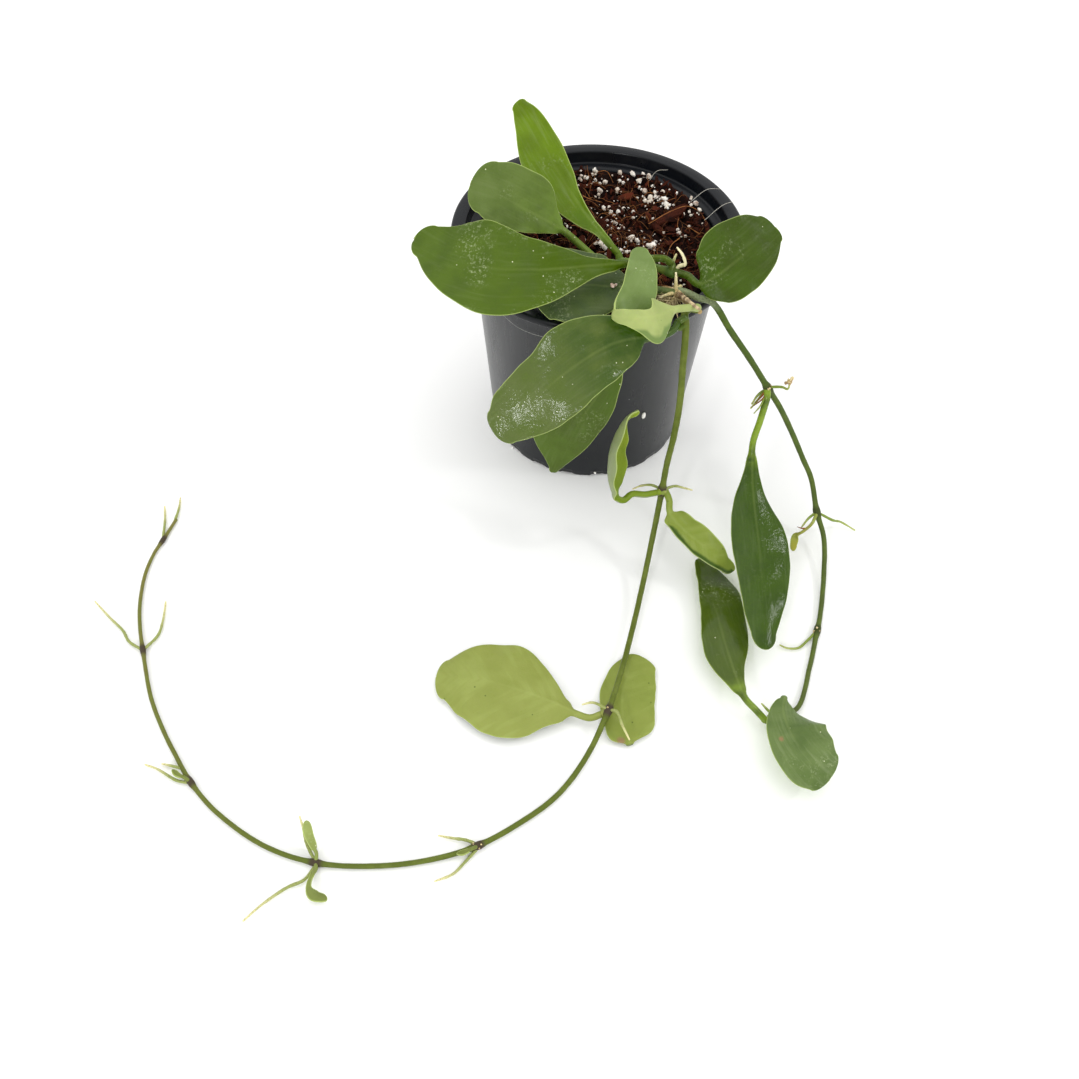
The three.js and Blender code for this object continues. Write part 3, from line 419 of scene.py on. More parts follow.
def carved(made: bpy.types.Object, cutter: Patch) -> None:
    """Cuts holes into an object for good and takes the cutter away.

    Args:
        made: Object to cut.
        cutter: Closed surfaces that fill the holes.
    """
    tool = mesh_of("cutter", cutter)
    cut = made.modifiers.new("holes", "BOOLEAN")
    cut.operation, cut.object, cut.solver = "DIFFERENCE", tool, "EXACT"
    depsgraph = bpy.context.evaluated_depsgraph_get()
    result = bpy.data.meshes.new_from_object(made.evaluated_get(depsgraph))
    made.modifiers.clear()
    made.data = result
    bpy.data.objects.remove(tool)


class Finish(Protocol):
    """Anything that can dress a piece."""

    def material(self) -> bpy.types.Material:
        """Builds the material."""


def piece(name: str, patch: Patch, finish: Finish, slot: Slot,
          nodes: Sequence[str] = (), smooth: bool = True) -> bpy.types.Object:
    """Makes one finished piece, dresses it and sets it on the plant's body.

    Args:
        name: Name of the piece.
        patch: Its surface in millimetres.
        finish: What it is made of.
        slot: Material slot of the record; not used.
        nodes: CAD nodes that it stands for.
        smooth: Whether its faces are shaded smooth.

    Returns:
        The object.
    """
    made = mesh_of(name, patch, smooth)
    made.data.materials.append(finish.material())
    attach(made, "root")
    if nodes:
        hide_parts(*nodes)
    LOG.info("%s: %d faces", name, len(patch.quads) + len(patch.triangles))
    return made


# ---- Finishes ---------------------------------------------------------------------------------

Socket = bpy.types.NodeSocket
IOR_WAX = 1.45
IOR_POLYPROPYLENE = 1.49


def linear(colour: int) -> tuple[float, float, float, float]:
    """Linear RGBA of an sRGB hex value: c / 12.92 below 0.04045, else ((c + 0.055) / 1.055) to
    the power 2.4."""
    parts = [((colour >> shift) & 255) / 255 for shift in (16, 8, 0)]
    return (*(c / 12.92 if c <= 0.04045 else ((c + 0.055) / 1.055) ** 2.4 for c in parts), 1.0)


def node(tree: bpy.types.NodeTree, kind: str, *values: Any, out: str = "",
         named: dict[str, Any] | None = None, **settings: Any) -> Socket | None:
    """Adds one shader node, with its settings, and links or sets its inputs.

    Args:
        tree: Node tree of the material.
        kind: Node type without its ShaderNode prefix.
        values: Numbers, colours or sockets for its live inputs in order, None to leave one.
        out: Name of the output wanted, or the first live one.
        named: Numbers, colours or sockets for inputs by name.
        settings: Properties of the node.

    Returns:
        The output socket, or None where the node has none.
    """
    made = tree.nodes.new("ShaderNode" + kind)
    for key, value in settings.items():
        setattr(made, key, value)
    live = [socket for socket in made.inputs if socket.enabled]
    pairs = list(zip(live, values))
    pairs += [(made.inputs[key], value) for key, value in (named or {}).items()]
    for socket, value in pairs:
        if isinstance(value, Socket):
            tree.links.new(value, socket)
        elif value is not None:
            socket.default_value = value
    return made.outputs[out] if out else next((s for s in made.outputs if s.enabled), None)


class Shader:
    """A material being built over the object's own coordinates, in metres, with one short call
    for each kind of node. A colour is a socket or an sRGB hex value."""

    def __init__(self, name: str) -> None:
        """Starts an empty material."""
        self.material = bpy.data.materials.new(name)
        self.material.use_nodes = True
        self.material.node_tree.nodes.clear()
        self.place = self.add("TexCoord", out="Object")

    def add(self, kind: str, *values: Any, **rest: Any) -> Socket:
        """Adds any node."""
        return node(self.material.node_tree, kind, *values, **rest)

    def mark(self, name: str, out: str = "Fac") -> Socket:
        """A value that the mesh carries."""
        return self.add("Attribute", attribute_name=name, out=out)

    def noise(self, scale: float, detail: float, at: Socket | None = None,
              rough: float = 0.5) -> Socket:
        """Cloudy noise, with bumps about 1 / scale wide."""
        return self.add("TexNoise", named={"Vector": self.place if at is None else at,
                                           "Scale": scale, "Detail": detail, "Roughness": rough})

    def cells(self, scale: float, out: str = "Distance") -> Socket:
        """Scattered points about 1 / scale apart: the distance to the nearest, or its colour."""
        return self.add("TexVoronoi", named={"Vector": self.place, "Scale": scale}, out=out)

    def ramp(self, value: Socket, low: float, high: float, start: float = 0.0,
             end: float = 1.0, **settings: Any) -> Socket:
        """Runs from start where the value is low to end where it is high."""
        return self.add("MapRange", value, low, high, start, end, **settings)

    def mix(self, share: Socket, under: Socket | int, over: Socket | int) -> Socket:
        """Lays one colour over another by a share."""
        pair = (linear(c) if isinstance(c, int) else c for c in (under, over))
        return self.add("Mix", share, *pair, data_type="RGBA")

    def times(self, *factors: Socket | float) -> Socket:
        """The product of two or more values."""
        return reduce(lambda a, b: self.add("Math", a, b, operation="MULTIPLY"), factors)

    def plus(self, *terms: Socket | float) -> Socket:
        """The sum of two or more values."""
        return reduce(lambda a, b: self.add("Math", a, b, operation="ADD"), terms)

    def minus(self, a: Socket | float, b: Socket | float) -> Socket:
        """The first value less the second."""
        return self.add("Math", a, b, operation="SUBTRACT")

    def done(self, colour: Socket, roughness: Socket | float, height: Socket, strength: float,
             depth: float, more: dict[str, Any]) -> bpy.types.Material:
        """Closes the material with a bumped surface.

        Args:
            colour: Its base colour.
            roughness: Its roughness.
            height: What raises the bump.
            strength: Share of the bump that shows.
            depth: Height of the bump in metres.
            more: Further inputs of the surface by name.

        Returns:
            The finished material.
        """
        bump = self.add("Bump", named={"Height": height, "Strength": strength, "Distance": depth})
        self.add("OutputMaterial", self.add("BsdfPrincipled", named={
            "Base Color": colour, "Roughness": roughness, "Normal": bump, **more}))
        return self.material


@dataclass(frozen=True)
class LeafSkin:
    """Living hoya leaf: thick, waxy and leathery. A satin skin, deep green above with pale dust,
    scuffing, painted sheen patches and water specks, paler below with a painted shade lip where
    one is set, and a thin light margin."""

    name: str
    upper: int = 0x55762F
    tip: int = 0x4E6B38
    base: int = 0x5C8A1A
    lower: int = 0x93AD62
    # Pale colour of the streaks, and of the dust, scuffing and painted sheen patches.
    fleck_and_sheen: int = 0xC9D3A6
    margin: int = 0xB9C878
    speck: int = 0xE2E4C0
    pit: int = 0x42521F
    scab: int = 0x8E7450
    # Share of the pale patches of dust, scuffing and painted sheen.
    scuffs_and_sheen: float = 0.3
    specks: float = 0.42
    streaks: float = 0.03
    roughness: float = 0.32
    specular: float = 0.16
    relief: float = 0.35
    veins: float = 0.2
    # Share of the blade over which the base's colour fades.
    fade: float = 0.75
    # A painted shade lip: a band of the darker upper colour along the lower face's margin,
    # standing in for an edge that turns over into shade. Its width in mm on the left and on the
    # right side, and the share of the blade where it starts and ends.
    lip: tuple[float, float, float, float] = (0.0, 0.0, 0.0, 1.0)
    # Old scars: place and radius in mm.
    scars: tuple[tuple[float, float, float, float], ...] = ()

    def _painted_shade_lip(self, sh: Shader, across: Socket, blade: Socket, cloud: Socket,
             edge: Socket) -> Socket:
        """Where the painted shade lies: its width less the distance to the margin, eased over
        1.1 mm.

        Args:
            sh: Material being built.
            across: Distance from the rib in mm.
            blade: Share of the blade.
            cloud: Noise that makes the lip uneven.
            edge: Distance to the margin in mm.

        Returns:
            A share from 0 to 1.
        """
        left, right, start, end = self.lip
        width = sh.add("Mix", sh.add("Math", across, 0.0, operation="GREATER_THAN"), right, left)
        width = sh.times(width, sh.ramp(blade, start, start + 0.07),
                         sh.ramp(blade, end - 0.07, end, 1.0, 0.0),
                         sh.ramp(cloud, 0.35, 0.65, 0.75, 1.25))
        return sh.ramp(sh.minus(width, edge), 0.0, 1.1)

    def _scabbed(self, sh: Shader, colour: Socket, mottle: Socket) -> Socket:
        """Lays the old scars over a colour, each with a ragged edge half its radius wide.

        Args:
            sh: Material being built.
            colour: Colour of the leaf.
            mottle: Noise that makes the edge ragged.

        Returns:
            The colour with its scars.
        """
        for x, y, z, radius in self.scars:
            gap = sh.add("VectorMath", sh.place, (x * MM, y * MM, z * MM), operation="DISTANCE",
                         out="Value")
            gap = sh.plus(gap, sh.times(mottle, radius * MM))
            worn = sh.ramp(gap, radius * MM, radius * 1.5 * MM, 0.95, 0.0)
            colour = sh.mix(worn, colour, self.scab)
        return colour

    def material(self) -> bpy.types.Material:
        """Builds the material: flow is (across, along) in mm on the blade."""
        sh = Shader(self.name)
        flow = sh.mark("flow", "Vector")
        side, edge, blade = (sh.mark(name) for name in ("side", "edge", "blade"))
        across, along = (sh.add("SeparateXYZ", flow, out=axis) for axis in "XY")
        # Cloudy tone, about 9 mm across, and a fine leathery mottle of about 0.8 mm.
        cloud, mottle = sh.noise(110.0, 3.0), sh.noise(1250.0, 4.0)
        # Streaks run along the blade: 1.1 mm apart and some 12 mm long.
        drawn = sh.add("Mapping", flow, named={"Scale": (0.9, 0.08, 1.0)})
        streak = sh.ramp(sh.noise(1.0, 4.0, drawn), 0.5, 0.72, 0.0, self.streaks)
        toward_tip = sh.ramp(blade, 0.03, self.fade, interpolation_type="SMOOTHSTEP")
        body = sh.mix(toward_tip, self.base, self.upper)
        body = sh.mix(sh.ramp(cloud, 0.42, 0.66), body, self.tip)
        body = sh.mix(streak, body, self.fleck_and_sheen)
        # Dust, scuffing and painted sheen: pale scratchy patches where a broad cloud allows them.
        patchy = sh.ramp(sh.noise(62.0, 2.0), 0.52, 0.68)
        scratchy_pattern = sh.ramp(sh.noise(900.0, 6.0, rough=0.75), 0.53, 0.66, 0.0, self.scuffs_and_sheen)
        scuff_and_sheen = sh.times(patchy, scratchy_pattern)
        body = sh.mix(scuff_and_sheen, body, self.fleck_and_sheen)
        # Water specks, about 0.4 mm wide and 3.5 mm apart, in some cells only.
        cells = sh.cells(290.0)
        chosen = sh.add("SeparateColor", sh.cells(290.0, "Color"), out="Red")
        chosen = sh.add("Math", chosen, self.specks, operation="LESS_THAN")
        body = sh.mix(sh.times(sh.ramp(cells, 0.035, 0.07, 1.0, 0.0), chosen), body, self.speck)
        # Below: paler, with small dark pits and faint side veins that leave the midrib at 45
        # degrees. They are streaks over (along - across, along + across), 5 mm apart.
        outward = sh.add("Math", across, operation="ABSOLUTE")
        slant = sh.add("CombineXYZ", sh.times(sh.minus(along, outward), 0.2),
                       sh.times(sh.plus(along, outward), 0.03))
        net = sh.ramp(sh.noise(1.0, 2.0, slant), 0.5, 0.64, 0.0, self.veins)
        under = sh.mix(net, self.lower, self.margin)
        under = sh.mix(sh.ramp(cloud, 0.4, 0.7, 0.0, 0.35), under, self.tip)
        pitted = sh.times(sh.ramp(cells, 0.06, 0.11, 1.0, 0.0), chosen, 0.75)
        under = sh.mix(pitted, under, self.pit)
        # Painted shade: along the lip the darker upper colour is laid over the lower face, as
        # where an edge turns over into shade.
        under = sh.mix(self._painted_shade_lip(sh, across, blade, cloud, edge), under, self.upper)
        colour = sh.mix(side, under, body)
        # The midrib is a faint shade lighter for its first two thirds.
        rib = sh.times(sh.ramp(outward, 0.15, 0.7, 0.07, 0.0), sh.ramp(blade, 0.3, 0.75, 1.0, 0.0))
        colour = sh.mix(rib, colour, self.margin)
        # The margin is a thin, translucent line.
        rim = sh.times(sh.ramp(edge, 0.06, 0.3, 0.6, 0.0), sh.ramp(blade, 0.0, 0.06))
        colour = sh.mix(rim, colour, self.margin)
        colour = self._scabbed(sh, colour, mottle)
        gloss = sh.plus(sh.ramp(mottle, 0.3, 0.7, self.roughness - 0.06, self.roughness + 0.08),
                        scuff_and_sheen)
        # The relief is the mottle, the clouds and shallow creases about 2.5 mm apart.
        height = sh.plus(mottle, sh.times(cloud, 3.0), sh.times(sh.noise(400.0, 2.0), 1.4))
        return sh.done(colour, gloss, height, self.relief, 0.2 * MM, {
            "IOR": IOR_WAX, "Specular IOR Level": self.specular, "Subsurface Weight": 0.12,
            "Subsurface Radius": (0.6, 1.0, 0.25), "Subsurface Scale": 1.2 * MM})


@dataclass(frozen=True)
class StemSkin:
    """Young hoya stem: smooth satin bark, olive where it is new and purple-brown at knots and
    ends. Its aerial roots are pale, matt and cream tipped."""

    name: str
    near: int = 0x66792E
    far: int = 0x665F45
    # Colour of the painted highlight patches.
    lit: int = 0x8A9A3F
    knot: int = 0x4A4234
    root: int = 0x96A05E
    root_tip: int = 0xE4DCA4
    bark: int = 0x4A4234
    furrow: float = 0.3
    roughness: float = 0.42
    relief: float = 0.15
    # Share of the length from which the far colour sets in.
    far_from: float = 0.0
    # A wrinkled older stretch: its colour, and the share of the length that it covers.
    old: int = 0x7C8460
    old_to: float = -0.02
    root_stain: int = 0x6B6238

    def material(self) -> bpy.types.Material:
        """Builds the material from the marks along, knot and pale."""
        sh = Shader(self.name)
        along, knot, pale = (sh.mark(name) for name in ("along", "knot", "pale"))
        # Cloudy patches of about 5 mm in the lit colour, a painted highlight, and fibrous bark of
        # about
        # 0.5 mm.
        cloud, bark = sh.noise(200.0, 3.0), sh.noise(2000.0, 3.0)
        body = sh.mix(sh.ramp(along, self.far_from, 1.0), self.near, self.far)
        body = sh.mix(sh.ramp(cloud, 0.45, 0.65, 0.0, 0.55), body, self.lit)
        body = sh.mix(sh.ramp(knot, 0.15, 0.7), body, self.knot)
        older = sh.ramp(along, self.old_to, self.old_to + 0.02, 1.0, 0.0)
        body = sh.mix(older, body, self.old)
        furrow = sh.add("Math", sh.ramp(bark, 0.5, 0.68, 0.0, self.furrow),
                        sh.times(older, 0.5), operation="MAXIMUM")
        body = sh.mix(sh.times(furrow, sh.ramp(bark, 0.48, 0.6)), body, self.bark)
        roots = sh.mix(sh.ramp(pale, 0.5, 1.0), self.root, self.root_tip)
        roots = sh.mix(sh.ramp(bark, 0.5, 0.65, 0.0, 0.45), roots, self.root_stain)
        is_root = sh.add("Math", pale, 0.02, operation="GREATER_THAN")
        colour = sh.mix(is_root, body, roots)
        gloss = sh.ramp(bark, 0.3, 0.7, self.roughness - 0.06, self.roughness + 0.12)
        return sh.done(colour, gloss, bark, 0.5, self.relief * MM, {
            "IOR": IOR_WAX, "Specular IOR Level": 0.2, "Subsurface Weight": 0.06,
            "Subsurface Radius": (0.5, 0.8, 0.2), "Subsurface Scale": 0.8 * MM})


@dataclass(frozen=True)
class MouldedPlastic:
    """Injection moulded polypropylene: satin near-black with a faint blue cast, fine mould grain,
    dusty water marks and hairline scratches."""

    colour: int = 0x0B0E13
    dust: int = 0x46494A
    speck: int = 0x9A9C9C
    roughness: float = 0.28

    def material(self) -> bpy.types.Material:
        """Builds the material."""
        sh = Shader("moulded_polypropylene")
        # Flow lines 2 mm apart that run up the wall.
        upright = sh.add("Mapping", sh.place, named={"Scale": (1.0, 1.0, 0.03)})
        lines = sh.noise(500.0, 2.0, upright)
        # Dust clouds of 15 mm, thicker on the lowest 12 mm of the wall, and specks.
        height = sh.add("SeparateXYZ", sh.place, out="Z")
        film = sh.plus(sh.ramp(sh.noise(65.0, 5.0, rough=0.6), 0.5, 0.78, 0.0, 0.06),
                       sh.ramp(height, 0.002, 0.012, 0.12, 0.0))
        colour = sh.mix(film, self.colour, self.dust)
        colour = sh.mix(sh.ramp(sh.cells(130.0), 0.02, 0.035, 0.7, 0.0), colour, self.speck)
        gloss = sh.plus(sh.ramp(lines, 0.35, 0.65, self.roughness - 0.01, self.roughness + 0.01),
                        sh.times(film, 0.5))
        # Mould grain of 0.4 mm.
        relief = sh.plus(sh.noise(2500.0, 2.0), sh.times(lines, 0.1))
        return sh.done(colour, gloss, relief, 0.1, 0.04 * MM, {
            "IOR": IOR_POLYPROPYLENE, "Specular IOR Level": 0.24})


@dataclass(frozen=True)
class LooseMatter:
    """Dry crumbly matter of the mix, such as bark, expanded perlite or coir: matt and dusty, with
    each bit a tone of its own and a rough, pitted skin."""

    name: str
    dark: int
    light: int
    stain: int
    grain_mm: float
    roughness: float = 0.9
    relief: float = 0.8

    def material(self) -> bpy.types.Material:
        """Builds the material from the mark tone and noise at the grain's size."""
        sh = Shader(self.name)
        grain = sh.noise(1000.0 / self.grain_mm, 4.0)
        tone = sh.plus(sh.times(sh.mark("tone"), 0.65), sh.ramp(grain, 0.35, 0.65, 0.0, 0.35))
        colour = sh.mix(tone, self.dark, self.light)
        colour = sh.mix(sh.ramp(sh.noise(260.0, 3.0), 0.52, 0.72, 0.0, 0.8), colour, self.stain)
        return sh.done(colour, self.roughness, grain, self.relief, self.grain_mm * MM * 0.5, {
            "IOR": IOR_WAX, "Specular IOR Level": 0.15})


# ---- Pot --------------------------------------------------------------------------------------

@dataclass
class NurseryPot:
    """The moulded pot: a flat rolled rim over a short collar, a stacking ledge inside, a tapered
    wall, and a floor on a middle pad and a notched foot ring, with drain holes."""

    height: float = 93.0
    rim_radius: float = 54.0
    rim_inner: float = 48.6
    lip: float = 3.0
    collar: float = 50.0
    ledge_drop: float = 4.4
    shoulder_drop: float = 7.0
    wall_top: float = 46.2
    wall: float = 1.4
    base_radius: float = 40.2
    floor_lift: float = 1.6
    floor: float = 1.6
    pad_radius: float = 20.0
    foot: float = 3.6
    notches: int = 20
    notch_width: float = 6.0
    holes: int = 8
    hole_radius: float = 3.2
    hole_circle: float = 29.0
    sectors: int = 240
    # A fine hair that clings to the wall.
    hair: tuple[Point, ...] = ((-34, -30.5, 78.1), (-28.8, -35.3, 76.9), (-23.4, -39.1, 77.2),
                               (-19.4, -41.3, 77.8))
    hair_radius: float = 0.06
    # White crumbs on the wall: place, half sizes (out of the wall last), and spin in radians.
    crumbs: tuple[tuple[float, ...], ...] = (
        (20.3, -37.4, 34.5, 0.85, 1.7, 0.6, 1.5), (3.2, -40.4, 2.7, 0.6, 0.4, 0.4, 1.0),
        (-31.1, -25.6, 0.6, 0.5, 0.4, 0.3, 0.3))
    finish: MouldedPlastic = MouldedPlastic()

    def profile(self) -> tuple[np.ndarray, np.ndarray]:
        """Section from the middle below, out and up, over the rim and down inside, with its
        corners rounded by cutting each one twice at a quarter of its sides.

        Returns:
            Points (radius, height), and 1 where a point belongs to the foot ring's underside.
        """
        inner_top, inner_base = self.wall_top - self.wall, self.base_radius - self.wall
        top, under = self.height, self.height - self.lip
        foot = self.base_radius - self.foot
        rows = np.array([
            (0.01, 0, 0), (self.pad_radius, 0, 0), (self.pad_radius + 1, self.floor_lift, 0),
            (foot - 0.8, self.floor_lift, 0), (foot, 0, 1), (self.base_radius - 0.4, 0, 1),
            (self.base_radius, 0.5, 1), (self.base_radius + 0.25, 4, 0),
            (self.wall_top, top - self.shoulder_drop, 0),
            (self.collar - 0.3, top - self.ledge_drop - 1.2, 0), (self.collar, under, 0),
            (self.rim_radius - 0.4, under, 0), (self.rim_radius, under + 0.5, 0),
            (self.rim_radius, top - 0.7, 0), (self.rim_radius - 0.7, top, 0),
            (self.rim_inner + 0.5, top, 0), (self.rim_inner, top - 0.5, 0),
            (self.rim_inner - 0.1, top - self.ledge_drop - 0.5, 0),
            (self.rim_inner - 0.8, top - self.ledge_drop - 0.8, 0),
            (inner_top + 0.7, top - self.ledge_drop - 1.1, 0),
            (inner_top, top - self.ledge_drop - 1.9, 0),
            (inner_base, self.floor_lift + self.floor, 0), (0.01, self.floor_lift + self.floor, 0),
        ], float)
        step = np.diff(rows, axis=0)
        length = np.linalg.norm(step[:, :2], axis=1, keepdims=True)
        cut = np.minimum(0.25 * length, 0.35) / length
        near, far = rows[:-1] + cut * step, rows[1:] - cut * step
        soft = np.stack([near, far], 1).reshape(-1, 3)
        soft = np.vstack([rows[:1], soft, rows[-1:]])
        return soft[:, :2], soft[:, 2]

    def shell(self) -> Patch:
        """The turned wall: (r cos a, r sin a, z), with the foot lifted at each notch by
        its depth times a step that rises from the notch's edge.

        Returns:
            The closed surface.
        """
        section, foot = self.profile()
        angle = around(self.sectors)
        turn = angle * self.notches / (2 * math.pi) - 0.35
        from_middle = np.abs(turn - np.round(turn)) * 2 * math.pi * self.base_radius / self.notches
        lift = 1 - smoothstep(self.notch_width / 2 - 0.5, self.notch_width / 2 + 0.3, from_middle)
        r, z = section[:, :1], section[:, 1:]
        raised = np.maximum(z, foot[:, None] * lift[None] * (self.floor_lift - 0.1))
        return loft(turned(r, angle, raised))

    def drills(self) -> Patch:
        """Round cutters for the drain holes."""
        heights = np.array([-3.0, 3.0, 8.0])
        return joined(thread(turned(self.hole_circle, a, heights), self.hole_radius, 32, 0, 3)
                      for a in around(self.holes))

    def build(self) -> None:
        """Makes the pot and what clings to it."""
        made = piece("nursery_pot", self.shell(), self.finish, Slot.POT, ["pot"])
        carved(made, self.drills())
        crumb = LooseMatter("perlite_crumb", 0xFBF8F0, 0xFFFFFF, 0xF6F2E8, 0.4)
        rows = np.array(self.crumbs)
        out = unit(rows[:, :3] * [1, 1, 0])
        bits = scattered(lump(6, 10, 1.2), rows[:, :3] + 0.3 * out, turned_about(out, rows[:, 6]),
                         rows[:, 3:6], np.random.default_rng(7), 0.06)
        piece("pot_crumbs", bits, crumb, Slot.SOIL)
        hair = LooseMatter("clinging_hair", 0x9A9C98, 0xC8C8C0, 0x9A9C98, 0.2, 0.5, 0.1)
        route = np.array(self.hair) * [1.008, 1.008, 1]
        piece("wall_hair", thread(route, self.hair_radius, 5, 0.5, 24), hair, Slot.SOIL)


# ---- Potting mix ------------------------------------------------------------------------------

@dataclass
class PottingMix:
    """Bark and coir mix with perlite, lying in the pot a little below its ledge."""

    level: float = 86.0
    wave: float = 0.9
    bottom: float = 3.55
    top_radius: float = 43.9
    bottom_radius: float = 38.1
    stems: tuple[Point, ...] = ((17, -33, 1.7), (6, -21, 1.5))
    stem_play: float = 0.9
    stem_depth: float = 22.0
    stem_gap: float = 5.5
    # How far the mix is heaped up at the wall.
    heap: float = 2.4
    # The bed's own grid, and its crumbs: width of a coarse and of a fine one, and their height.
    bed_sides: int = 180
    bed_rings: int = 60
    coarse: float = 2.2
    fine: float = 0.9
    crumb_height: float = 0.9
    chips: int = 1500
    grains: int = 230
    crumbs: int = 190
    fibres: int = 420
    bark: LooseMatter = LooseMatter("composted_bark", 0x080201, 0x240D07, 0x0C0403, 0.5)
    chip: LooseMatter = LooseMatter("bark_chip", 0x0E0403, 0x5E2814, 0x160805, 0.35)
    perlite: LooseMatter = LooseMatter("expanded_perlite", 0xD2C2AE, 0xFFFDF6, 0x8E6850, 0.3)
    coir: LooseMatter = LooseMatter("coir_fibre", 0x200C06, 0xAA7040, 0x3A1A0C, 0.3, 0.75)
    # Chips that stand out: place across and back, heading in radians from +X towards +Y, half
    # sizes, and tone.
    seen_chips: tuple[tuple[float, ...], ...] = (
        (11.6, 28.6, 0.5, 3.4, 1.5, 0.8, 0.95), (27.5, 15.5, 0.66, 8.2, 2.0, 0.8, 0.3),
        (31, 20.4, 0.58, 6.0, 1.3, 0.7, 0.22), (-14, 30, 0.3, 5, 1.8, 0.8, 0.5),
        (23, 9, 2.3, 3.6, 1.3, 0.7, 0.3), (-30, -8, 1.0, 5, 1.6, 0.8, 0.4))
    chip_lift: float = 0.8
    # The way that the large chips lean, towards the viewer.
    chip_lean: Point = (0.05, -0.22, 1.0)
    # Grains that stand out in the mix: place across, place back, radius.
    seen_grains: tuple[Point, ...] = (
        (1.4, 31.2, 1.9), (3.7, 37.5, 1.4), (-5.8, 38.9, 1.2), (-3.6, 38.5, 1.2),
        (-0.5, 42.1, 1.2), (9.5, 40.9, 1.4), (14.3, 39.8, 1.8), (18.5, 38.7, 1.5),
        (20.5, 37.6, 1.5), (16.9, 36.7, 1.8), (18.9, 32.2, 1.8), (8.3, 33.1, 1.6),
        (22.8, 30.7, 1.4), (20.9, 27.8, 1.5), (23.4, 27.9, 1.3), (26.2, 26.4, 1.9),
        (26.6, 23.1, 1.8), (20.3, 24.5, 1.4), (8.3, 18.6, 1.5), (2.8, 21.5, 1.4), (4.8, 22, 1.1),
        (6.7, 11.5, 1.2), (9.4, 7.7, 1.4), (13.8, 15.2, 1.1), (30.6, 6.5, 1.3), (12.5, 1, 1.7),
        (14.4, -0.4, 1.5), (18.9, -3.2, 2.1), (20.4, -1.7, 1.7), (8.1, -5.8, 1.4),
        (10.4, -6.5, 1.2), (1.1, -2.3, 1.9), (36, 24, 1.2), (37.7, 20.9, 1.6), (38.9, 17.6, 1.4),
        (35.8, 16.3, 1.2), (-10.1, 5.5, 1.3), (-6.8, -1.1, 1.1), (2.5, -3.8, 1.5))
    # Long fibres and dry hairs that stand clear of the mix, the last three over the rim.
    seen_fibres: tuple[tuple[Point, ...], ...] = (
        ((19.4, 10, 88), (27.5, 13.7, 91), (33.6, 14.9, 92.5), (38.5, 13.3, 91), (41, 11.2, 88)),
        ((-5.2, 26.4, 88), (-2.3, 23.3, 88.7), (2, 22.6, 88)),
        ((0.4, 42.2, 88), (4.2, 37.9, 91), (6.7, 35.1, 88)),
        ((1.9, 15.6, 88), (5, 12.1, 90.5), (8.4, 9.6, 88)),
        ((36.3, 6, 88), (37.7, 1.6, 90), (33.7, 8.9, 88)),
        ((30.3, 1.2, 88.5), (26.5, -5.4, 90), (24.6, -9.3, 87.5)))
    hairs: tuple[tuple[Point, ...], ...] = (
        ((20.6, 36.6, 88), (23.2, 36, 93), (27.1, 34, 95)),
        ((35.5, 23.3, 88), (41.4, 24, 93.5), (46.1, 21.8, 95.5)),
        ((40.6, 13.5, 87.5), (47.2, 14.4, 94), (53.2, 14.3, 96)))

    def surface(self, x: np.ndarray, y: np.ndarray) -> np.ndarray:
        """Height of the mix: level + wave (sin(.13x + .6) cos(.11y) + .6 sin(.24y + .17x)),
        raised by the heap where it meets the wall."""
        swell = np.sin(0.13 * x + 0.6) * np.cos(0.11 * y) + 0.6 * np.sin(0.24 * y + 0.17 * x)
        heaped = self.heap * smoothstep(self.top_radius - 7, self.top_radius - 1, np.hypot(x, y))
        return self.level + self.wave * swell + heaped

    def bed(self) -> Patch:
        """The body of the mix: rings that run in from the wall over an uneven top.

        Returns:
            The closed surface.
        """
        rng = np.random.default_rng(31)
        angle = around(self.bed_sides)
        radius = np.concatenate([[self.bottom_radius], self.top_radius * np.sqrt(
            np.linspace(1, 0.0004, self.bed_rings))])[:, None]
        x, y = radius * np.cos(angle), radius * np.sin(angle)
        crumbs = (wander(rng, x / self.coarse, y / self.coarse, 24)
                  + 0.5 * wander(rng, x / self.fine, y / self.fine, 24))
        rise = crumbs * smoothstep(0, 2, self.top_radius - radius) - 1
        z = self.surface(x, y) + self.crumb_height * rise
        z[0] = self.bottom
        # Painted shade: the tone follows the crumbs' height, darker in the hollows and lighter on
        # the tops.
        return loft(np.stack([x, y, z], -1), {"tone": 0.4 + 0.25 * crumbs})

    def _spots(self, rng: np.random.Generator, count: int, margin: float) -> np.ndarray:
        """Seeded places on the mix, clear of the wall and of the stems.

        Args:
            rng: Seeded source.
            count: How many are drawn before those too near a stem are dropped.
            margin: Distance kept from the wall.

        Returns:
            Points on the surface, (k, 3).
        """
        radius = (self.top_radius - margin) * np.sqrt(rng.uniform(0, 1, count))
        angle = rng.uniform(0, 2 * math.pi, count)
        x, y = radius * np.cos(angle), radius * np.sin(angle)
        stems = np.array(self.stems)
        gap = np.hypot(x[:, None] - stems[:, 0], y[:, None] - stems[:, 1]).min(1)
        return np.stack([x, y, self.surface(x, y)], -1)[gap > self.stem_gap]

    def _tilts(self, rng: np.random.Generator, count: int, spread: float) -> np.ndarray:
        """Random turns whose +Z leans by up to about the given share from upright."""
        lean = np.concatenate([rng.normal(0, spread, (count, 2)), np.ones((count, 1))], 1)
        return turned_about(unit(lean), rng.uniform(0, 2 * math.pi, count))

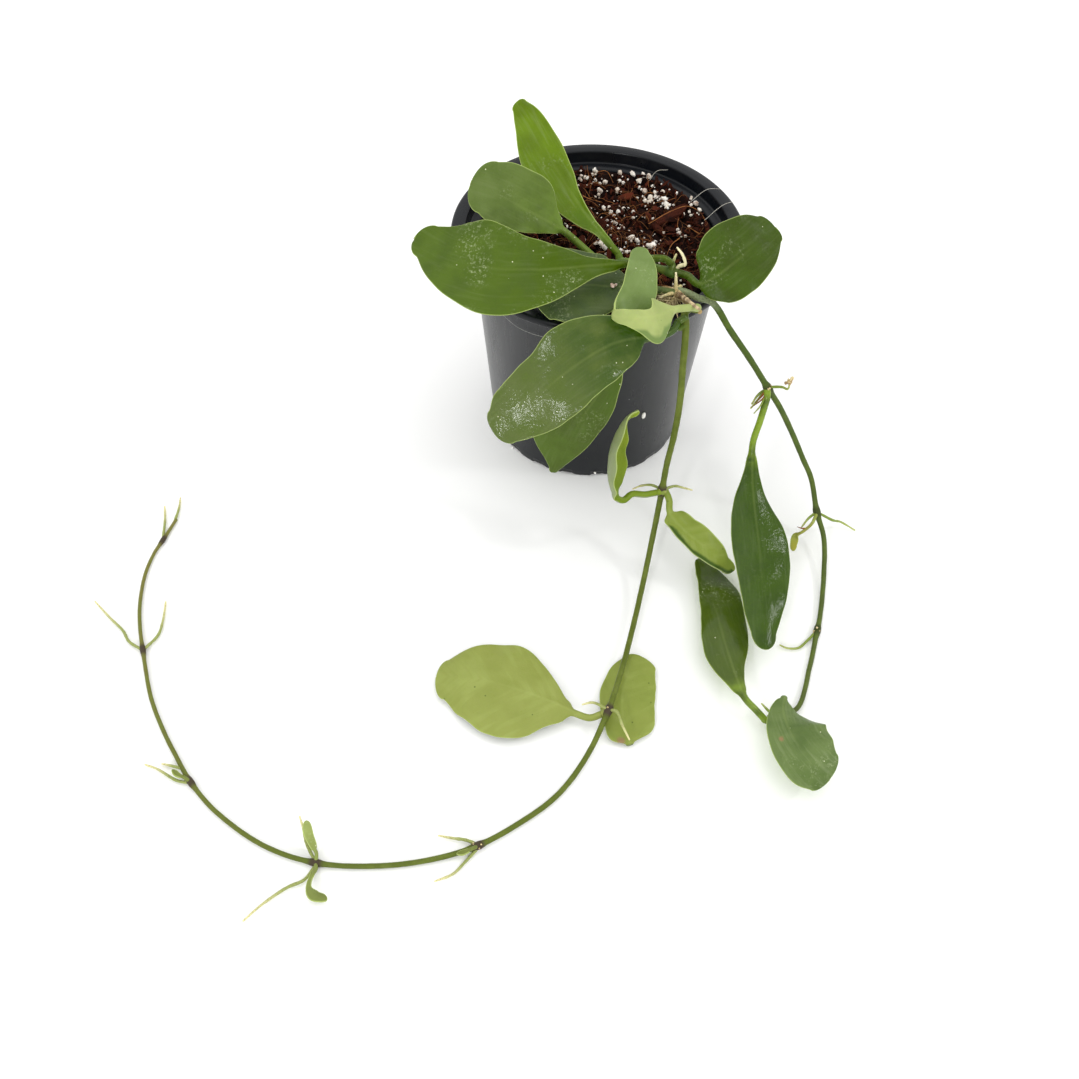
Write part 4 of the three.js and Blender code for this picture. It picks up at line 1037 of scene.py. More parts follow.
    def _chips(self) -> Patch:
        """Bark chips: flat lumps up to 8 mm long, most of them small, and six that stand out."""
        rng = np.random.default_rng(33)
        spots = self._spots(rng, self.chips, 1.0)
        k = len(spots)
        length = 0.6 + 3.6 * rng.beta(1.0, 4.5, k)
        sizes = np.stack([length, length * rng.uniform(0.12, 0.6, k), rng.uniform(0.2, 0.7, k)],
                         -1)
        spots[:, 2] += rng.uniform(-0.9, 1.3, k)
        small = scattered(lump(3, 7, 3.0), spots, self._tilts(rng, k, 0.7), sizes, rng, 0.3)
        small.marks["tone"] = small.marks["tone"] ** 2.2
        rows = np.array(self.seen_chips)
        x, y, heading, tones = rows[:, 0], rows[:, 1], rows[:, 2], rows[:, 6]
        large = np.stack([x, y, self.surface(x, y) + self.chip_lift], -1)
        turns = turned_about(unit(np.tile(self.chip_lean, (len(rows), 1))), heading + math.pi / 2)
        planks = scattered(lump(9, 18, 3.0), large, turns, rows[:, 3:6], rng, 0.13)
        planks.marks["tone"] = np.repeat(tones, len(planks.points) // len(rows))
        return joined([small, planks])

    def _grains(self) -> Patch:
        """Perlite: knobbly lumps, a few large ones in known places and many small ones, and
        crumbs strewn about the large ones."""
        rng = np.random.default_rng(35)
        spots = self._spots(rng, self.grains, 2.0)
        spots[:, 2] += rng.uniform(-0.3, 1.0, len(spots))
        radius = 0.2 + 0.7 * rng.beta(1.0, 3.4, len(spots))
        seen = np.array(self.seen_grains)
        tops = self.surface(seen[:, 0], seen[:, 1]) + 0.55 * seen[:, 2] + 0.3
        near = rng.integers(0, len(seen), self.crumbs)
        beside = seen[near, :2] + rng.normal(0, 2.1, (self.crumbs, 2))
        beside = beside[np.hypot(beside[:, 0], beside[:, 1]) < self.top_radius - 2]
        extra = np.column_stack([beside, self.surface(beside[:, 0], beside[:, 1])
                                 + rng.uniform(0.3, 1.1, len(beside))])
        spots = np.vstack([spots, np.column_stack([seen[:, :2], tops]), extra])
        radius = np.concatenate([radius, seen[:, 2] * 0.62, rng.uniform(0.2, 0.75, len(extra))])
        sizes = radius[:, None] * rng.uniform(0.6, 1.3, (len(spots), 3))
        turns = self._tilts(rng, len(spots), 1.5)
        return scattered(lump(5, 9, 1.3), spots, turns, sizes, rng, 0.3)

    def _coir(self) -> Patch:
        """Coir: short curled threads, each a seeded arc that lies on the mix."""
        rng = np.random.default_rng(37)
        spots = self._spots(rng, self.fibres, 3.0)
        threads = []
        for x, y, _ in spots:
            heading, curl = rng.uniform(0, 2 * math.pi), rng.normal(0, 0.5, 4)
            length, rise = rng.uniform(3, 12), rng.uniform(0.4, 2.4)
            turn = heading + np.cumsum(curl)
            px = x + np.concatenate([[0], np.cumsum(np.cos(turn))]) * length / 4
            py = y + np.concatenate([[0], np.cumsum(np.sin(turn))]) * length / 4
            reach = np.maximum(np.hypot(px, py) / (self.top_radius - 1.5), 1)
            arch = np.sin(np.linspace(0, math.pi, 5)) * rise
            pz = self.surface(px / reach, py / reach) + 0.4 + arch
            threads.append(thread(np.stack([px / reach, py / reach, pz], -1),
                                  rng.uniform(0.07, 0.18), 4, rng.beta(0.8, 1.4), 9, 0.6))
        return joined(threads + [thread(route, 0.18, 6, 1.1, 30, 0.6)
                                 for route in self.seen_fibres])

    def build(self) -> None:
        """Makes the bed, its stem holes, and all that lies in it."""
        made = piece("potting_mix", self.bed(), self.bark, Slot.SOIL, ["soil"])
        carved(made, joined(
            thread([(x, y, self.level - self.stem_depth), (x, y, 95.0), (x, y, 110.0)],
                   r + self.stem_play, 24, 0, 3) for x, y, r in self.stems))
        piece("bark_chips", self._chips(), self.chip, Slot.SOIL, smooth=False)
        piece("perlite_grains", self._grains(), self.perlite, Slot.SOIL)
        piece("coir_fibres", self._coir(), self.coir, Slot.SOIL)
        hair = LooseMatter("dry_hair", 0xB9B4A8, 0xE6E2D8, 0xC9C4B8, 0.2, 0.5, 0.1)
        hairs = joined(thread(route, 0.14, 5, 0.5, 24, 0.6) for route in self.hairs)
        piece("dry_hairs", hairs, hair, Slot.SOIL)


# ---- Stems ------------------------------------------------------------------------------------

@dataclass
class Stem:
    """A stem that tapers along its route and swells at each knot, with aerial roots."""

    name: str
    node: str
    slot: Slot
    route: Sequence[Point]
    start: float
    end: float
    knots: Sequence[Point]
    roots: Sequence[Sequence[Point]]
    finish: StemSkin
    root_radius: float = 0.55
    swell: float = 0.55
    knot_length: float = 2.2
    spikes: Sequence[Sequence[Point]] = ()
    spike_radius: float = 0.38
    # Where it springs from, inside the stem that carries it.
    spring: Sequence[Point] = ()
    sides: int = 22
    # Two collars stand beside each knot, this far from its middle, this wide and this high.
    collar_place: float = 1.5
    collar_width: float = 0.35
    collar_rise: float = 0.07
    # Ribs run along the stem: their number, and their height as a share of the radius.
    ribs: int = 5
    rib_rise: float = 0.018
    seed: int = 1

    def body(self) -> Patch:
        """The stem itself. Its radius is the taper times 1 + swell times a bell at each knot plus
        two narrow collars, times a little unevenness and the ribs.

        Returns:
            The closed tube with the marks along, knot and pale.
        """
        curve = Spline(self.route)
        length = curve.length()
        s = np.linspace(0, 1, int(length / 0.8))
        rng = np.random.default_rng(self.seed)
        off = np.array([(s - curve.nearest(knot)) * length for knot in self.knots])
        bell = np.exp(-(off / self.knot_length) ** 2).sum(0)
        beside = (np.abs(off) - self.collar_place) / self.collar_width
        swelling = self.swell * bell + self.collar_rise * np.exp(-beside**2).sum(0)
        radius = (self.start + (self.end - self.start) * s) * (1 + swelling)
        angle = around(self.sides)
        rough = wander(rng, (s * length / 3)[:, None], np.cos(angle)[None] * 0.7, 12)
        uneven = 1 + 0.02 * rough + self.rib_rise * np.cos(self.ribs * angle)
        marks = {"along": s, "knot": np.clip(bell, 0, 1), "pale": 0 * s}
        return tube(curve, s, radius, self.sides, marks, uneven)

    def _rootlets(self, routes: Sequence[Sequence[Point]], radius: float) -> list[Patch]:
        """Aerial roots: radius times 1 - .45 s squared, a little knobbly, pale to the tip."""
        made = []
        for k, route in enumerate(routes):
            curve = Spline(route)
            s = np.linspace(0, 1, max(10, int(curve.length() / 0.5)))
            rng = np.random.default_rng(100 * self.seed + k)
            knobs = 1 + 0.07 * wander(rng, s * curve.length() / 1.5, 0 * s, 10)
            marks = {"along": s, "knot": 0 * s, "pale": 0.1 + 0.9 * s}
            made.append(tube(curve, s, radius * (1 - 0.45 * s * s) * knobs, 10, marks))
        return made

    def build(self) -> None:
        """Makes the stem with its roots as one piece."""
        patch = joined([self.body(), *self._rootlets(self.roots, self.root_radius),
                        *self._rootlets(self.spikes, self.spike_radius)])
        if self.spring:
            s = np.linspace(0, 0.9, 16)
            marks = {"along": 0 * s, "knot": 0 * s, "pale": 0 * s}
            foot = tube(Spline([*self.spring, self.route[0], self.route[1]]), s,
                        self.start * (1.25 - 0.3 * s), self.sides, marks)
            patch = joined([patch, foot])
        piece(self.name, patch, self.finish, self.slot, [self.node])


# ---- Leaves -----------------------------------------------------------------------------------

# Widths in mm of one bump of the margin, of the broad relief and of the fine relief.
MARGIN_BUMP, BROAD_BUMP, FINE_BUMP = 5.0, 7.0, 2.4
# How far the margin strays, half the midrib's width, its groove's depth and its keel's, in mm.
FRAY, MIDRIB_WIDTH, GROOVE, KEEL = 0.12, 0.9, 0.08, 0.32
# Sets the two faces' streaks apart in the noise.
FACE_SHIFT = 40.0


@dataclass
class Leaf:
    """One leaf: a round petiole that flattens into a blade with a rippled margin. The rib is its
    middle line, the outline rows are [place, left half width, right half width], and face lists
    the directions that the upper side looks in, evenly spaced along the rib."""

    name: str
    node: str
    slot: Slot
    finish: LeafSkin
    rib: Sequence[Point]
    blade_from: float
    face: Sequence[Point]
    outline: Sequence[Point]
    cup: float = 12.0
    wave: float = 0.5
    waves: float = 3.0
    phase: float = 0.0
    petiole: float = 1.25
    thickness: float = 1.1
    stations: int = 96
    columns: int = 30
    ripple: float = 0.16
    # Where the petiole springs from, inside the knot that carries it.
    spring: Sequence[Point] = ()
    seed: int = 1

    def _fractions(self) -> np.ndarray:
        """Places along the rib, close together towards the tip: the sine of an even angle."""
        stalk = np.linspace(0, self.blade_from, 18)[:-1] if self.blade_from > 0.01 else []
        b = np.sin(np.linspace(0, math.pi / 2, self.stations))
        b[-1] = 1 - 2e-5
        return np.concatenate([stalk, self.blade_from + (1 - self.blade_from) * b])

    def _tipward(self, b: np.ndarray) -> np.ndarray:
        """How far past the outline's last row each place is, as a share of what is left."""
        last = self.outline[-1][0]
        return np.clip((b - last) / (1 - last), 0, 1)

    def half_width(self, b: np.ndarray, left: np.ndarray) -> np.ndarray:
        """Half width of the blade: the outline read smoothly, rounded off past its last row as a
        quarter ellipse.

        Args:
            b: Share of the blade.
            left: True on the left of the rib.

        Returns:
            Half widths in mm.
        """
        width = smooth_rows(np.asarray(self.outline, float), b, np.where(left, 1, 2))
        return np.maximum(width * np.sqrt(1 - self._tipward(b) ** 2), 0.01)

    def _axes(self, s: np.ndarray) -> tuple[np.ndarray, np.ndarray, np.ndarray]:
        """The rib and the directions that the blade spreads and looks in.

        Args:
            s: Places along the rib.

        Returns:
            The rib's points, the direction across it and the direction up, each (k, 3).
        """
        curve = Spline(self.rib)
        along = curve.heading(s)
        looks = np.asarray(self.face, float)
        looks = np.vstack([looks, looks]) if len(looks) == 1 else looks
        even = np.linspace(0, 1, len(looks))
        look = np.stack([np.interp(s, even, looks[:, k]) for k in range(3)], -1)
        up = unit(look - (look * along).sum(1, keepdims=True) * along)
        return curve.at(s), np.cross(up, along), up

    def _relief(self, rng: np.random.Generator, x: np.ndarray, run: np.ndarray,
                side: np.ndarray) -> tuple[np.ndarray, np.ndarray]:
        """What raises the blade: broad and fine bumps shared by both faces, and a groove over the
        midrib with a keel under it.

        Args:
            rng: Seeded source.
            x: Distance across the rib in mm.
            run: Distance along the blade in mm.
            side: 1 on the upper face and -1 on the lower.

        Returns:
            Heights of the bumps, and of the groove and keel.
        """
        bumps = self.ripple * wander(rng, x / BROAD_BUMP, run / BROAD_BUMP, 14)
        bumps = bumps + 0.25 * self.ripple * wander(rng, x / FINE_BUMP, run / FINE_BUMP, 18)
        return bumps, np.exp(-(x / MIDRIB_WIDTH) ** 2) * np.where(side > 0, -GROOVE, -KEEL)

    def surface(self) -> Patch:
        """The leaf's skin over (place along the rib, place round the section).

        Across the rib, v runs from -1 to 1. The blade's section is an arc that turns by the cup's
        angle times v; its thickness fades to nothing at the margin; the margin ripples with
        v squared; and the petiole's section is a circle. A smooth step passes from one to the
        other.

        Returns:
            The closed surface with the marks flow, edge, side and blade.
        """
        full, s = Spline(self.rib).length(), self._fractions()[:, None]
        length = full * (1 - self.blade_from)
        b = np.clip((s - self.blade_from) / (1 - self.blade_from), 0, 1)
        # Round the section: over the upper face from -1 to 1 and back below.
        u = np.linspace(-1, 1, self.columns + 1)
        v = np.sin(math.pi / 2 * np.concatenate([u, u[-2:0:-1]]))[None]
        side = np.concatenate([np.ones(self.columns + 1), -np.ones(self.columns - 1)])[None]
        flat, opened = smoothstep(0, 0.14, b), smoothstep(-0.02, 0.06, b)
        left = np.broadcast_to(v > 0, (len(s), v.size))
        rng = np.random.default_rng(self.seed)
        frayed = FRAY * wander(rng, b * length / MARGIN_BUMP, 2.0 * np.sign(v), 10)
        wide = (self.half_width(np.broadcast_to(b, left.shape), left)
                + frayed * flat * (1 - smoothstep(0.94, 1, b)))
        width = self.petiole + (wide - self.petiole) * opened
        turn = math.radians(self.cup) * flat + 1e-4
        bow = width * (1 - np.cos(turn * v)) / turn
        reach = width * np.sin(turn * v) / turn
        round_x = self.petiole * np.sin(math.pi / 2 * v)
        x = round_x + (reach - round_x) * opened
        swing = 2 * math.pi * self.waves * b + self.phase + np.where(left, 0.0, 2.0)
        closing = np.sqrt(np.clip(1 - np.abs(v) ** 14, 0, 1) * (1 - self._tipward(b) ** 10))
        blade_half = self.thickness / 2 * (1 - 0.4 * v**2) * closing
        round_half = self.petiole * np.cos(math.pi / 2 * v)
        half = (round_half + (blade_half - round_half) * flat) * side
        bumps, midrib = self._relief(rng, x, b * length, side)
        lift = flat * (bow + self.wave * v**2 * np.sin(swing) + bumps * (1 - np.abs(v) ** 6)
                       + midrib * (1 - smoothstep(0.35, 0.85, b)))
        tilt = turn * v * flat
        x, z = x - np.sin(tilt) * half, lift + np.cos(tilt) * half
        middle, over, up = self._axes(s[:, 0])
        rings = middle[:, None] + x[..., None] * over[:, None] + z[..., None] * up[:, None]
        above = np.where(np.abs(v) > 0.9999, 0.5, (side + 1) / 2) + 0 * b
        flow = np.stack([x, s * full + 0 * v, FACE_SHIFT * above], -1)
        edge = np.minimum((1 - np.abs(v)) * width, (1 - b) * length)
        return loft(rings, {"flow": flow, "edge": edge, "side": above, "blade": b + 0 * v})

    def socket(self) -> Patch:
        """The foot of the petiole, from inside its knot to just past the rib's first point: a
        tube whose radius falls from 1.1 to 0.95 times the petiole's.

        Returns:
            The closed tube, with the marks that the blade has at its start.
        """
        curve = Spline([*self.spring, self.rib[0], self.rib[1]])
        s = np.linspace(0, curve.nearest(self.rib[0]) + 0.6 / curve.length(), 14)
        radius = self.petiole * (1.1 - 0.15 * s / s[-1])
        above = float(self.face[0][2] > 0)
        return tube(curve, s, radius, 20,
                    {"side": above + 0 * s, "edge": 5.0 + 0 * s, "blade": 0 * s})

    def build(self) -> None:
        """Makes the leaf as one piece."""
        parts = [self.surface(), self.socket()] if self.spring else [self.surface()]
        piece(self.name, joined(parts), self.finish, self.slot, [self.node])


def plant_stems() -> list[Stem]:
    """Every stem, from the crown outwards, each with a seed of its own."""
    green = StemSkin("olive_stem_skin", near=0x4C6226, far=0x526C28, knot=0x4E6829)
    stems = [
        Stem("crown_stem", "stem_crown", Slot.WOODY,
             [(17, -33, 65), (17, -33, 86), (19, -35, 93), (22, -38, 97), (25, -41.5, 98.5),
              (28.5, -45.5, 98.3), (32.5, -49.5, 97.5)], 1.7, 0.8, [(25, -41.5, 98.5)],
             [[(24.9, -41.4, 99.3), (24.3, -41.6, 104), (23.9, -41.8, 107)],
              [(24.2, -42.1, 98.9), (22, -43.5, 99.5), (19.5, -44, 98.5)],
              [(24.7, -42.6, 98), (23.5, -44.5, 97.5), (21.5, -46.5, 96)],
              [(25.2, -40.6, 98.4), (26.4, -38.8, 99), (27.4, -36.6, 97.4)]],
             StemSkin("woody_stem_skin", 0x9C8458, 0xAE9466, 0xD2BC8A, 0xCDB684, 0xD8C890,
                      0xF4E8BC, 0x4E3520, 0.9, 0.7, 0.6), root_radius=0.6),
        Stem("back_shoot", "stem_back", Slot.STEM,
             [(6, -21, 65), (6, -21, 88), (7, -22.5, 95), (11, -25.5, 98), (18, -29, 99),
              (24, -32, 99.5)], 1.5, 1.3, [(7, -22.5, 95), (24, -32, 99.5)], [], green,
             spikes=[[(23.9, -31.2, 99.9), (24.3, -29.4, 101.2), (25.4, -27.2, 103.1)]],
             spike_radius=0.6),
        Stem("long_runner", "runner_long", Slot.STEM,
             [(27.6, -49.4, 96.4), (28, -52.5, 95), (28, -57, 90.5), (27.8, -61.5, 84),
              (28, -66, 73), (27.7, -68.1, 58), (26.5, -70.1, 42), (26.1, -72.1, 31),
              (23.9, -81.4, 14), (19.8, -99.3, 6), (14.8, -120.2, 5), (10.5, -136.4, 7),
              (5.8, -151.1, 7), (3.9, -155.4, 6), (0, -163.3, 3), (-6.5, -173.6, 1.6),
              (-12.9, -181.1, 1.4), (-22.3, -188.5, 1.4), (-37, -197.4, 1.7),
              (-52.5, -202.3, 1.4), (-70.2, -204.6, 1.4), (-88.4, -204, 1.7),
              (-105.6, -198.9, 1.4), (-123.8, -187.7, 1.4), (-134.2, -177.8, 1.6),
              (-140.5, -169.6, 1.4), (-148, -158.9, 1.4), (-155.1, -146.7, 1.4),
              (-162.6, -127.9, 1.6), (-166.2, -118.1, 1.3), (-168.8, -107.9, 1.2),
              (-170.1, -94.6, 1.2), (-169.1, -84.9, 1.2), (-167.2, -78.5, 1.3),
              (-164.4, -68.4, 1.2)], 1.2, 0.62,
             [(26.1, -72.1, 31), (5.8, -151.1, 7), (-37, -197.4, 1.7), (-88.4, -204, 1.7),
              (-134.2, -177.8, 1.6), (-162.6, -127.9, 1.6), (-167.2, -78.5, 1.3)],
             [[(26.1, -72, 31), (22.5, -69, 30), (18.5, -67.1, 27), (16, -67, 25)],
              [(26.1, -72, 31), (31.4, -68.4, 29), (35.1, -67.6, 27), (38.4, -66.9, 25)],
              [(5.8, -151.1, 7.5), (8.5, -152.2, 8.6), (10.5, -156.6, 7), (12.8, -161.3, 6)],
              [(5.8, -151.1, 7.5), (0.5, -149.2, 9), (-3.2, -150, 9)],
              [(-37, -197.1, 1.5), (-41, -195.6, 1.5), (-45.6, -195, 1.4), (-49.9, -194.2, 1.2)],
              [(-37, -198.1, 1.5), (-40.9, -202.7, 1.4), (-44.5, -206.5, 1.2), (-50, -208.8, 1)],
              [(-88.4, -204, 1.7), (-92.4, -197.5, 2), (-94.1, -192.9, 2), (-95.8, -189.1, 2)],
              [(-88.2, -204.3, 1.5), (-91.2, -209.2, 1.3), (-96.5, -211.9, 1.2),
               (-103.8, -217.6, 1.1), (-108.2, -222.1, 0.9)],
              [(-134.3, -178, 1.4), (-138.7, -177.4, 1.3), (-146.6, -173.3, 1.2),
               (-151, -171.8, 1)],
              [(-138.2, -173, 1.4), (-141.7, -172.2, 1.2), (-145.3, -171.4, 1)],
              [(-162.6, -128, 1.4), (-168.7, -124.3, 1.2), (-172, -119.9, 1.1),
               (-178.4, -114.3, 1), (-185.9, -107.3, 0.9)],
              [(-162.6, -128, 1.4), (-158.8, -121.6, 1.2), (-158.5, -115.2, 1.1),
               (-159.5, -106.7, 0.9)],
              [(-167.2, -78.5, 1.3), (-168.8, -68.4, 1.1), (-170.6, -61.5, 1)],
              [(-164.8, -70, 1.2), (-164.6, -62.3, 1.1), (-165.3, -56.9, 1)]],
             StemSkin("trailing_stem_skin", 0x58651F, 0x78743A, 0x6C7830, 0x443A2C,
                      far_from=0.62),
             spring=[(31.4, -48.6, 97.9), (29.4, -48, 97.6)]),
        Stem("short_runner", "runner_short", Slot.STEM,
             [(28.8, -41.9, 98.8), (32.4, -43.2, 98), (37.4, -43, 96), (45.1, -45.8, 86),
              (53.5, -47.8, 75), (62.2, -48.8, 62), (68.3, -49.7, 53), (75.2, -51.2, 41),
              (81.3, -54.3, 30), (85.9, -57.7, 22), (89.2, -66.1, 12), (91.8, -74.6, 7),
              (90.4, -90.4, 3), (86.5, -108.5, 1.6), (84.7, -114, 1.7), (79.9, -129, 1.5),
              (73, -146, 2), (66.5, -149.5, 3.2), (62.4, -150.5, 3.6)], 1.15, 0.85,
             [(62.2, -48.8, 62), (89.2, -66.1, 12), (84.7, -114, 1.7), (64.5, -150, 3.4)],
             [[(62.2, -48.6, 62.3), (66.4, -51.2, 65), (68, -53.1, 66), (68.2, -52.6, 69)],
              [(62.2, -48.8, 62), (59.4, -48.5, 58), (57.3, -51, 56)],
              [(62.2, -48.8, 62), (59, -50.5, 57), (57, -52.2, 55)],
              [(89.2, -66, 12), (96, -66.8, 8), (100.9, -64.7, 4), (106.9, -66.3, 1)],
              [(89.2, -66, 12), (85.5, -68.9, 11), (83.6, -70.9, 9)],
              [(84.7, -114, 1.7), (80.4, -118.3, 1.4), (76.8, -121.3, 1.3), (72.6, -121.4, 1.2),
               (70.3, -120.1, 1)],
              [(64.5, -150, 3.4), (62.5, -148.9, 4), (59.8, -146.3, 5)]],
             StemSkin("bowed_stem_skin", 0x43591A, 0x505C28, 0x60722A, 0x3C461C, 0x7F9340,
                      0xB5BC70, old=0x7C8862, old_to=0.045),
             spring=[(25.4, -40.8, 98.6), (27, -41.3, 98.9)],
             spikes=[[(62, -49.4, 61.6), (59.9, -53.5, 58), (58.1, -53.9, 54)],
                     [(89, -66.1, 12), (84.7, -69.2, 9.5), (83.3, -71, 8.5)]]),
    ]
    for seed, stem in enumerate(stems, 3):
        stem.seed = seed
    return stems


